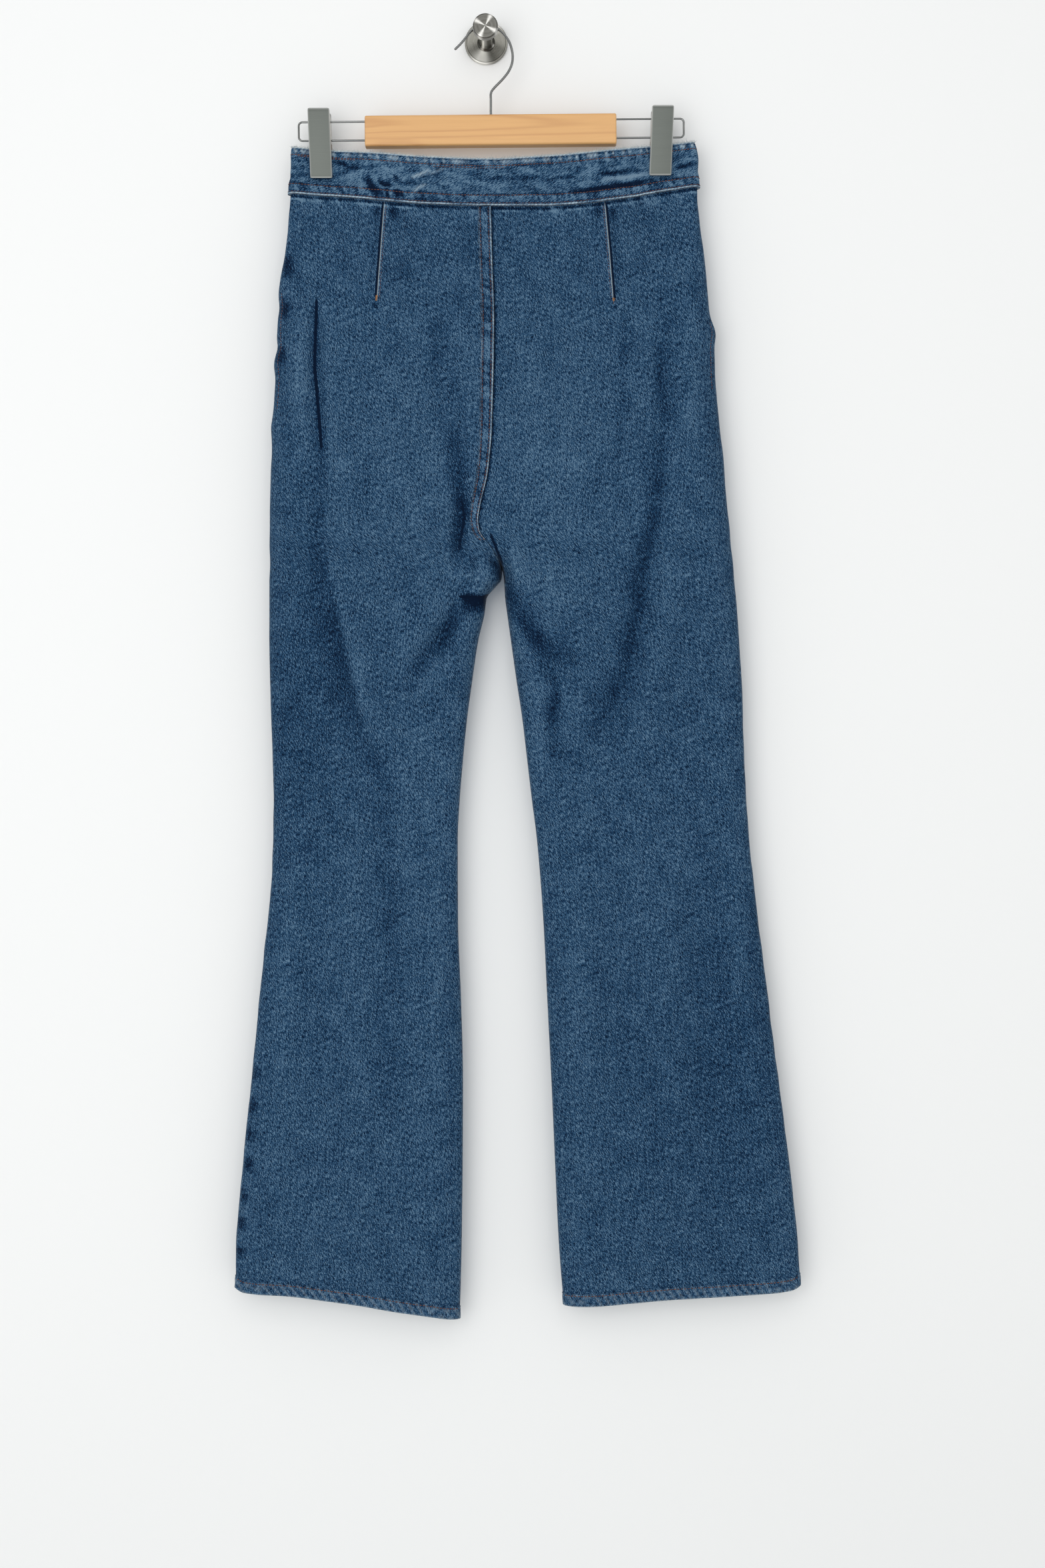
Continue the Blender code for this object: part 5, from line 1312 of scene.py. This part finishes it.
# %% [markdown]
# ## Bar tacks, loose tails and the frayed edge
# A bar tack is a dense block of short stitches at the end of a dart. Where a thread was cut, its tail hangs
# out. The waistband's raw edge has let go of its pale weft, which stands up as short whiskers: each is a
# three-sided taper, bent a little sideways, and thousands of them make a soft fringe.

# %% Tacks, tails and whiskers
def whiskers(name, piece, root, normal, count, low, high, seed, material, radius, spread=0.55, rise=(0.0, 0.0, 1.0)):
    """Tapers standing on the path of roots.

    point = root + way * length * t + bend * t * t + radius * (1 - 0.8 t) round it"""
    chance = np.random.default_rng(seed)
    length = length_along(root)
    at = np.sort(chance.uniform(0, length[-1], count))
    foot, out = at_length(at, length, root), at_length(at, length, normal)
    way = np.array(rise) + out * chance.normal(0.15, 0.3, (count, 1))
    way = unit(way + np.array([1.0, 0, 0]) * chance.normal(0, spread, (count, 1)))
    tall = chance.uniform(low, high, (count, 1)) * chance.uniform(0.6, 1.0, (count, 1))
    bend = chance.normal(0, 0.35, (count, 3)) * tall
    across = unit(np.cross(way, [0.3, 1.0, 0.2]))
    other = np.cross(way, across)
    t = np.array([-0.15, 0.35, 0.7, 1.0])[None, :, None, None]
    angle = (np.arange(3) * 2 * math.pi / 3)[None, None, :, None]
    foot, rod, bend, across, other = (v[:, None, None, :] for v in (foot, way * tall, bend, across, other))
    around = radius * (1 - 0.8 * np.clip(t, 0, 1)) * (across * np.cos(angle) + other * np.sin(angle))
    points = foot + rod * t + bend * t * t + around
    one = np.concatenate([grid_quads(4, 3, closed=True), [[0, 1, 2, 2]], [[11, 10, 9, 9]]])
    quads = one[None] + (np.arange(count) * 12)[:, None, None]
    stitches.append((mesh_object(name, points, quads.reshape(-1, 4), material), piece["object"]))
    print(name, count, "whiskers")


for key, count in (("back", 2000), ("front_left", 800), ("front_right", 700)):
    edge = bands[key]["points"][1], bands[key]["normal"][1]
    whiskers(f"fray_band_{key}", bands[key], *edge, count, 0.9, 3.2, 50 + count, pale_thread, radius=0.19)


def tack(side, x, z, lean, wide, tall):
    """A bar tack: a short dense row of crossing stitches."""
    piece = panels["back", side]
    at = np.linspace(-0.5, 0.5, 12)
    path = on_cloth(piece, x + at * tall * math.sin(lean), z + at * tall * math.cos(lean))
    row = stitch_row(*path, pitch=0.62, length=wide, radius=0.3, lean=math.pi / 2, seed=60, sunk=0.2)
    sewn(f"bar_tack_{side}", [row], orange_thread, piece)


tack("left", -100.6, -249.5, 0.1, 2.2, 5.0)
tack("right", 118.2, -250.8, -0.1, 2.0, 3.0)
piece = panels["back", "right"]
root = on_cloth(piece, np.array([117.2, 119.8]), np.array([-249.0, -252.5]))
whiskers("thread_tails", piece, *root, 5, 4.0, 8.0, 77, orange_thread, radius=0.2, spread=1.2, rise=(0.2, -0.1, -0.6))

# %% [markdown]
# ## Wood and steel
# The bar is light maple under clear lacquer, with fine straight lines along it. The clips are satin steel with
# highlights painted on their bent corners. The wires are bright plate with painted reflections along their sides, and
# the wall hook is turned steel, brushed round its axis, so its lines are rings, with bright spokes of highlight painted
# on its plate and knob. Lines come from the shared group: only the direction changes.

# %% Finishes of the hanger and the hook
def lined_finish(
    name, dark, light, across, length, metallic, roughness, contrast, bend=0.0, coat=0.0, contours=0.0,
    edge=None, painted_highlight_share=0.6, rings=False, painted_spokes=None,
):
    """A finish with fine lines along X, or with rings about the Y axis; an edge mark on the points paints a highlight
    onto it.

    The painted spokes are (strength, how many, turned by, power): painted bright highlights, as a turned face shows
    them under windows."""
    material, tree, shader = new_finish(name, Metallic=metallic, Coat_Weight=coat, Coat_Roughness=0.25)
    place = add(tree, "ShaderNodeTexCoord").outputs["Object"]
    if rings:
        x, y, z = add(tree, "ShaderNodeSeparateXYZ", {0: place}).outputs
        radius = sums(tree, "SQRT", sums(tree, "ADD", sums(tree, "MULTIPLY", x, x), sums(tree, "MULTIPLY", z, z)))
        angle = sums(tree, "ARCTAN2", z, x)
        place = add(tree, "ShaderNodeCombineXYZ", {0: sums(tree, "MULTIPLY", angle, 0.01), 1: y, 2: radius}).outputs[0]
    values = {"Vector": place, "Across": across, "Length": length, "Bend": bend}
    lines = add(tree, "ShaderNodeGroup", values, node_tree=lined)
    share = swing(tree, lines.outputs["Lines"], contrast, 0.5)
    share = swing(tree, lines.outputs["Broad"], contrast, share, clamp=True)
    share = sums(tree, "MULTIPLY_ADD", lines.outputs["Contours"], -contours, share, clamp=True)
    # painted highlight: bright spokes painted by the angle round the axis
    if painted_spokes:
        strength, times, turned_by, power = painted_spokes
        highlight_beam = sums(tree, "MAXIMUM", sums(tree, "COSINE", sums(tree, "MULTIPLY_ADD", angle, times, turned_by)), 0.0)
        faint = sums(tree, "MULTIPLY", share, 0.22)
        share = sums(tree, "MULTIPLY_ADD", sums(tree, "POWER", highlight_beam, power), strength, faint, clamp=True)
    colour = blend_colours(tree, share, dark, light)
    # painted highlight from the edge mark
    if edge:
        colour = blend_colours(tree, sums(tree, "MULTIPLY", mark(tree, "edge"), painted_highlight_share, clamp=True), colour, edge)
    tree.links.new(colour, shader.inputs["Base Color"])
    tree.links.new(sums(tree, "MULTIPLY_ADD", share, 0.12, roughness - 0.06), shader.inputs["Roughness"])
    bumpy(tree, shader, lines.outputs["Lines"], 0.5, 0.00004)
    return material


maple = lined_finish(
    "lacquered_maple", srgb(205, 153, 98), srgb(231, 183, 122), across=420.0, length=11.0, metallic=0.0,
    roughness=0.48, contrast=0.5, bend=0.006, coat=0.12, contours=0.45,
)
# bright wire, with a painted reflection along each wire's sides from the edge mark
wire_plate = lined_finish(
    "bright_wire", (0.15, 0.155, 0.155), (0.24, 0.245, 0.24), across=700.0, length=30.0, metallic=1.0,
    roughness=0.16, contrast=1.0, edge=(0.8, 0.8, 0.8), painted_highlight_share=1.0,
)
# satin clip steel, with painted highlights on the bent corners from the edge mark
clip_steel = lined_finish(
    "satin_clip_steel", (0.072, 0.085, 0.074), (0.107, 0.122, 0.109), across=900.0, length=60.0, metallic=0.75,
    roughness=0.5, contrast=1.2, edge=(0.75, 0.76, 0.74), painted_highlight_share=0.85,
)
# turned plate and knob: bright spokes of painted highlight round the axis
turned_steel = dict(across=2600.0, length=60.0, metallic=1.0, contrast=0.9, rings=True)
plate_steel = lined_finish(
    "turned_plate_steel", (0.15, 0.146, 0.125), (0.72, 0.71, 0.67),
    roughness=0.32, painted_spokes=(1.1, 2.0, -2.62, 2.0), **turned_steel,
)
knob_steel = lined_finish(
    "turned_knob_steel", (0.05, 0.048, 0.04), (0.70, 0.69, 0.66),
    roughness=0.30, painted_spokes=(0.85, 4.0, -4.33, 3.0), **turned_steel,
)
button_metal = lined_finish(
    "dull_brass", (0.30, 0.22, 0.13), (0.46, 0.35, 0.22), across=500.0, length=300.0, metallic=1.0,
    roughness=0.42, contrast=1.4,
)
print("hard finishes:", [m.name for m in (maple, wire_plate, clip_steel, plate_steel, knob_steel, button_metal)])

# %% [markdown]
# ## Bar, wires and hook
# Each of these is a closed cross-section carried along a line, and ended with a fan to its middle. The bar's
# section is a box with rounded edges that shrinks over the last millimetres, as a sander leaves it. A wire's
# section is a circle set square to its path.

# %% Loft, bar and wires
def loft(name, rings, material, edge=None, ends=1.0):
    """A closed skin through rings of points (sections by places round), with a fan to each end's middle.

    edge is the painted highlight mark of the rings' points, and ends that of the two middles."""
    sections, around = rings.shape[:2]
    count = sections * around
    points = np.concatenate([rings.reshape(-1, 3), [rings[0].mean(axis=0)], [rings[-1].mean(axis=0)]])
    k = np.arange(around)
    n = (k + 1) % around
    first = np.stack([np.full(around, count), n, k, k], -1)
    last = np.stack([np.full(around, count + 1), k + count - around, n + count - around, n + count - around], -1)
    quads = np.concatenate([grid_quads(sections, around, closed=True)[:, ::-1], first, last])
    marks = None if edge is None else dict(edge=np.concatenate([edge.ravel(), [ends, ends]]))
    return mesh_object(name, points, quads, material, marks)


def tilted(x, z):
    """A place on the hanger, given level, after the hanger's tilt about the bar's middle."""
    dx, dz = np.asarray(x, float) - BAR["x"], np.asarray(z, float) - BAR["z"]
    return BAR["x"] + dx * math.cos(TILT) - dz * math.sin(TILT), BAR["z"] + dx * math.sin(TILT) + dz * math.cos(TILT)


def wooden_bar():
    """Section: corners of radius r joined by flats, |corner| + r * (cos a, sin a).

    It shrinks by a quarter circle at both ends."""
    half_size = np.array([BAR["deep"], BAR["tall"]]) / 2
    half_long, r = BAR["long"] / 2, 2.4
    a = np.radians(np.concatenate([np.linspace(q, q + 90, 7) for q in (0, 90, 180, 270)]))
    quarter = np.radians(np.repeat([45, 135, 225, 315], 7))
    corner = np.sign(np.stack([np.cos(quarter), np.sin(quarter)], -1))
    section = corner * (half_size - r) + r * np.stack([np.cos(a), np.sin(a)], -1)
    t = np.radians(np.linspace(0, 90, 7))
    end, shrink = 1.4 * (1 - np.sin(t)), 1.4 * (1 - np.cos(t))
    place = np.concatenate([-half_long + end[::-1], np.linspace(4 - half_long, half_long - 4, 30), half_long - end])
    less = np.concatenate([shrink[::-1], np.zeros(30), shrink])
    order = np.argsort(place)
    place, less = place[order], less[order]
    yz = section[None] * (1 - less[:, None] / half_size)[:, None, :]
    x, z = tilted(BAR["x"] + place[:, None], BAR["z"] + yz[..., 1])
    return loft("wooden_bar", np.stack([np.broadcast_to(x, z.shape), MID_Y + yz[..., 0], z], -1), maple)


def wire_rings(path, up, side, size, around):
    """A circle at each point of the path: path + size * (cos a * up + sin a * side)."""
    a = np.arange(around) * 2 * math.pi / around
    circle = np.cos(a)[None, :, None] * up + np.sin(a)[None, :, None] * side[:, None]
    return path[:, None] + size * circle


def flat_wire(name, path, radius, material):
    """A round wire along a path that lies in one upright plane, rounded at both ends."""
    around = 16
    way = unit(np.gradient(path, axis=0))
    up = np.array([0.0, 1.0, 0.0])
    side = np.cross(np.broadcast_to(up, way.shape), way)
    t = np.radians([15.0, 40.0, 65.0])
    reach = 0.9 * radius * np.cos(t)[:, None]
    path = np.concatenate([path[:1] - way[:1] * reach, path, path[-1:] + way[-1:] * reach[::-1]])
    side = np.concatenate([np.repeat(side[:1], 3, 0), side, np.repeat(side[-1:], 3, 0)])
    size = np.concatenate([np.sin(t), np.ones(len(side) - 6), np.sin(t[::-1])]) * radius
    rings = wire_rings(path, up, side, size[:, None, None], around)
    # painted reflection: bright along both sides, as a plated wire mirrors a pale room, and dark where it faces out of
    # it
    a = np.arange(around) * 2 * math.pi / around
    edge = 0.7 * np.clip(np.abs(np.sin(a)) * 2.4 - 1.7, 0, 1) * np.ones((len(rings), 1))
    return loft(name, rings, material, edge)


def fair_path(points, per):
    """A smooth path through points in the hanger's plane: cubic through each two, with slopes from their neighbours."""
    p = np.array(points, float)
    ends = np.concatenate([[2 * p[0] - p[1]], p, [2 * p[-1] - p[-2]]])
    t = (np.arange(per) / per)[None, :, None]
    a, b, c, d = (ends[k : len(ends) - 3 + k, None] for k in range(4))
    path = 0.5 * (2 * b + (c - a) * t + (2 * a - 5 * b + 4 * c - d) * t**2 + (3 * b - a - 3 * c + d) * t**3)
    return np.concatenate([path.reshape(-1, 2), p[-1:]])


def rail(name, end, start):
    """A wire loop: out along the upper line, a quarter circle at each corner, and back along the lower line."""
    way = math.copysign(1.0, end)
    upper, lower = BAR["z"] + RAIL_RISE[0], BAR["z"] + RAIL_RISE[1]
    tip, r = BAR["x"] + end, RAIL_CORNER
    a = np.radians(np.linspace(90, -90, 19))
    turn_x = tip - way * r + way * r * np.cos(a)
    turn_z = np.where(a >= 0, upper - r, lower + r) + r * np.sin(a)
    straight = np.linspace(BAR["x"] + start, turn_x[0], 12)[:-1]
    x = np.concatenate([straight, turn_x, np.linspace(turn_x[-1], BAR["x"] + start, 12)[1:]])
    z = np.concatenate([np.full(11, upper), turn_z, np.full(11, lower)])
    x, z = tilted(x, z)
    return flat_wire(name, np.stack([x, np.full_like(x, MID_Y), z], -1), RAIL_RADIUS, wire_plate)


hard = {"hanger_bar": (wooden_bar(), "maple")}
for side, end in zip(("left", "right"), RAIL_END):
    start = math.copysign(BAR["long"] / 2 - 10.0, end)
    hard[f"rail_{side}"] = (rail(f"wire_loop_{side}", end, start), "wire")
stem = [(4.75, -84.5), (4.75, -74.0), (4.75, -62.0), (4.85, -55.5), (7.6, -50.9), (15.6, -42.6)]
bow = [(21.4, -35.1), (24.6, -27.1), (24.9, -18.4), (22.6, -9.4), (18.9, -3.2), (13.6, 2.4), (6.9, 6.5), (-1.4, 7.9)]
nose = [(-8.6, 6.0), (-14.2, 1.7), (-19.0, -4.4), (-23.4, -9.6), (-28.2, -14.4)]
hook_line = fair_path(stem + bow + nose, 6)
hook_path = np.stack([hook_line[:, 0], np.full(len(hook_line), MID_Y), hook_line[:, 1]], -1)
hard["hook_wire"] = (flat_wire("hanging_hook", hook_path, HOOK_RADIUS, wire_plate), "wire")
print("bar, loops and hook:", [piece.name for piece, _ in hard.values()])

# %% [markdown]
# ## Clips
# A pinch clip is stamped from sheet: a front plate whose sides bend back into two ears, a plain back plate,
# and a coiled spring between the ears that presses the jaws together. The plate's section is a channel with
# rounded corners, and its flange grows deep where the ears are. The spring is a helix.

# %% Plates and springs
def clip_plate(side, at_x, at_z, out):
    """A channel section carried down the plate: flat face, corners of radius r, flanges of depth f(z)."""
    c = CLIP
    half, top, low = c["wide"] / 2, at_z + c["tall"] / 2, at_z - c["tall"] / 2
    middle = np.linspace(top - 1.8, low + 1.8, 44)
    z = np.concatenate([[top, top - 0.25, top - 0.8], middle, [low + 0.8, low + 0.25, low]])
    neck, jaw = c["top"], c["jaw"]
    bends = [(top, neck - 0.6), (top - 3.0, neck), (low + 4.2, jaw + 0.15), (low + 1.2, jaw), (low, jaw + 0.9)]
    face = along(table("z y", bends), "y", z) + c["wall"]
    edge = np.minimum(top - z, z - low)
    narrow = (half - 1.1 * (1 - np.sqrt(np.clip(1 - (1 - np.clip(edge / 1.8, 0, 1)) ** 2, 0, 1))))[:, None]
    # flanges: 1.9 mm deep, and deep ears round the spring on the front plate
    ear = ease((14.5 - np.abs(z - at_z - SPRING_RISE)) / 4.0) * (face + 5.2 - 1.9) if out < 0 else 0.0
    deep = 1.9 + ear - 0.5 * (edge < 0.5)
    # half of the section, as (across, depth behind the face): flange tip, then corner, outside and inside
    r, t = 1.3, c["wall"]
    a = np.radians(np.linspace(0, 90, 6))
    outer_x, outer_y = np.concatenate([[0.0], r - r * np.cos(a)]), np.concatenate([[1.0], r - r * np.sin(a)])
    inner_x = np.concatenate([t + r * 0.4 * (1 - np.cos(a[::-1])), [t]])
    inner_y = np.concatenate([t + r * 0.4 * (1 - np.sin(a[::-1])), [1.0]])
    ways = [outer_x - narrow, narrow - outer_x[::-1], narrow - inner_x[::-1], inner_x - narrow]
    across = np.concatenate(ways, axis=1)
    depth = np.concatenate([outer_y, outer_y[::-1], inner_y[::-1], inner_y])[None] * np.ones((len(z), 1))
    tips = [0, 13, 14, 27]
    depth[:, tips] = deep[:, None]
    x = at_x + ((z - at_z) * c["lean"] * (-1 if side == "left" else 1))[:, None] + across
    y = MID_Y + out * (face[:, None] - depth)
    # painted highlight on the plate: brightest at the flange tips and bent corners, faint inside, and along the top and
    # bottom rims
    corner_highlight_marks = np.concatenate([[1.0, 1.0], np.linspace(1, 0.1, 5)])
    painted_highlight_marks = np.concatenate([corner_highlight_marks, corner_highlight_marks[::-1], np.full(14, 0.2)])[None] * np.ones((len(z), 1))
    rim = [0, 1, 2, -3, -2, -1]
    painted_highlight_marks[rim] = np.maximum(painted_highlight_marks[rim], 0.6)
    rings = np.stack([x, y, np.broadcast_to(z[:, None], x.shape)], -1)
    place = {-1.0: "front", 1.0: "back"}[out]
    return loft(f"clip_{side}_{place}_plate", rings, clip_steel, painted_highlight_marks, ends=0.5)


def coil_spring(name, x, z, reach, coil, wire, turns):
    """A helix about the X axis: middle + coil * (cos a, sin a), moving along x with a, in round wire."""
    a = np.linspace(0, 2 * math.pi * turns, turns * 18 + 1)
    path = np.stack([x + reach * (a / a[-1] * 2 - 1), MID_Y + coil * np.cos(a), z + coil * np.sin(a)], -1)
    outward = np.stack([np.zeros_like(a), np.cos(a), np.sin(a)], -1)
    side = np.cross(unit(np.gradient(path, axis=0)), outward)
    return loft(name, wire_rings(path, outward[:, None], side, wire, 8), wire_plate)


for side, at_x, at_z in zip(("left", "right"), CLIP_X, CLIP_Z):
    for place, out in (("front", -1.0), ("back", 1.0)):
        hard[f"clip_{side}_{place}"] = (clip_plate(side, at_x, at_z, out), "clip_steel")
    shift = SPRING_RISE * CLIP["lean"] * (-1 if side == "left" else 1)
    x, z = tilted(at_x + shift, BAR["z"] + sum(RAIL_RISE) / 2)
    hard[f"clip_{side}_spring"] = (coil_spring(f"clip_{side}_coil", float(x), float(z), 7.6, 4.2, 0.75, 8), "wire")
print("clips:", [name for name in hard if name.startswith("clip")])

# %% [markdown]
# ## Wall hook and button
# Plate, peg and knob are turned on a lathe, and so is the button's head: a profile of radius against depth,
# carried round the Y axis. Each corner of the profile is a small round, because a real edge is never sharp
# and the round is what catches the light.

# %% Turned pieces
def rounded_profile(corners, size):
    """Each inner corner (radius, y) replaced by a curve of five points from `size` before it to `size` after it.

    (1 - t)^2 a + 2 t (1 - t) corner + t^2 b"""
    p = np.array(corners, float)
    before, after = p[:-2] - p[1:-1], p[2:] - p[1:-1]
    room = np.minimum(np.linalg.norm(before, axis=1), np.linalg.norm(after, axis=1))
    reach = np.minimum(size, 0.45 * room)[:, None]
    a, b = ((p[1:-1] + unit(way) * reach)[:, None] for way in (before, after))
    t = np.linspace(0, 1, 5)[None, :, None]
    curves = (1 - t) ** 2 * a + 2 * t * (1 - t) * p[1:-1, None] + t**2 * b
    return np.concatenate([p[:1], curves.reshape(-1, 2), p[-1:]])


def turned(name, profile, centre, material, around=96):
    """Points (r cos a, y, r sin a) about the Y axis through the centre; the two ends of the profile are on the axis."""
    a = np.arange(around) * 2 * math.pi / around
    ring = profile[1:-1]
    y = np.broadcast_to(ring[:, 1:], (len(ring), around))
    rings = np.stack([ring[:, :1] * np.cos(a), y, ring[:, :1] * np.sin(a)], -1)
    return loft(name, rings + np.array(centre), material)


r, t = PLATE_RADIUS, PLATE_THICK
plate_line = [(0, 0), (r, 0), (r, -t), (r - 1.6, -t), (r - 1.9, -t + 0.35), (0.5, -t + 0.35), (0, -t + 0.35)]
plate_line = rounded_profile(plate_line, 0.45)
hard["wall_plate"] = (turned("wall_plate_turned", plate_line, (0, 0, 0), plate_steel), "wall_steel")
p, k, end = PEG_RADIUS, KNOB_RADIUS, -PEG_LONG
neck = end + KNOB_LONG
peg_line = [(0, -t - GAP), (p + 2.6, -t - GAP), (p + 0.8, -t - 2.5), (p, -t - 6.3), (p, neck + 3.0)]
peg_line += [(p + 1.6, neck + 0.8), (k, neck), (k, end + 0.9), (k - 0.9, end), (0.4, end + 0.25), (0, end + 0.25)]
peg_line = rounded_profile(peg_line, 0.9)
hard["wall_peg"] = (turned("wall_peg_turned", peg_line, (0, 0, 0), knob_steel), "wall_steel")
low, high = (np.array(corner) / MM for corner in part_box("waist_button"))
x, z = (low[0] + high[0]) / 2, (low[2] + high[2]) / 2
rb, y0, y1 = (high[0] - low[0]) / 2, low[1], high[1]
button_line = [(0, y0), (rb - 1.2, y0), (rb, y0 + 0.8), (rb - 0.2, y1 - 0.8), (rb - 1.5, y1), (rb - 2.6, y1 - 0.7)]
button_line += [(3.2, y1 - 0.9), (2.4, y1 - 0.3), (0.3, y1 - 0.2), (0, y1 - 0.2)]
button = turned("waist_button_turned", rounded_profile(button_line, 0.5), (x, 0, z), button_metal, around=64)
hard["waist_button"] = (button, "button_metal")
print("turned:", hard["wall_plate"][0].name, hard["wall_peg"][0].name, hard["waist_button"][0].name)

# %% [markdown]
# ## Tie each piece to the body
# Every piece rides on the one body. The dressed pieces stand for their solids, which are hidden, and the table of cuts
# lists each sheet's flat size and what it hangs from.

# %% Tie the pieces to the model
clips = ["clip_left_front", "clip_right_front"]
cuts = {  # node: (piece, flat width, flat length, flat area, what it hangs from)
    "back_left": (panels["back", "left"]["object"], 0.27, 1.065, 0.222, ["waistband_back"]),
    "back_right": (panels["back", "right"]["object"], 0.27, 1.065, 0.222, ["waistband_back"]),
    "front_left": (panels["front", "left"]["object"], 0.27, 1.065, 0.222, ["waistband_front_left"]),
    "front_right": (panels["front", "right"]["object"], 0.27, 1.065, 0.222, ["waistband_front_right"]),
    "band_back": (bands["back"]["object"], 0.39, 0.044, 0.0168, clips),
    "band_front_left": (bands["front_left"]["object"], 0.23, 0.044, 0.0098, clips),
    "band_front_right": (bands["front_right"]["object"], 0.20, 0.044, 0.0085, clips),
    "centre_back_seam": (fell["object"], 0.012, 0.33, 0.0035, ["waistband_back"]),
    "fly": (fly["object"], 0.042, 0.168, 0.0066, ["waistband_front_left"]),
}
for node, (piece, wide, long, area, hangs_from) in cuts.items():
    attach(piece, "root")
    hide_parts(node)
for made, _ in stitches:
    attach(made, "root")
for node, (piece, slot) in hard.items():
    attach(piece, "root")
    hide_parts(node)
print("pieces:", len(cuts) + len(stitches) + len(hard))
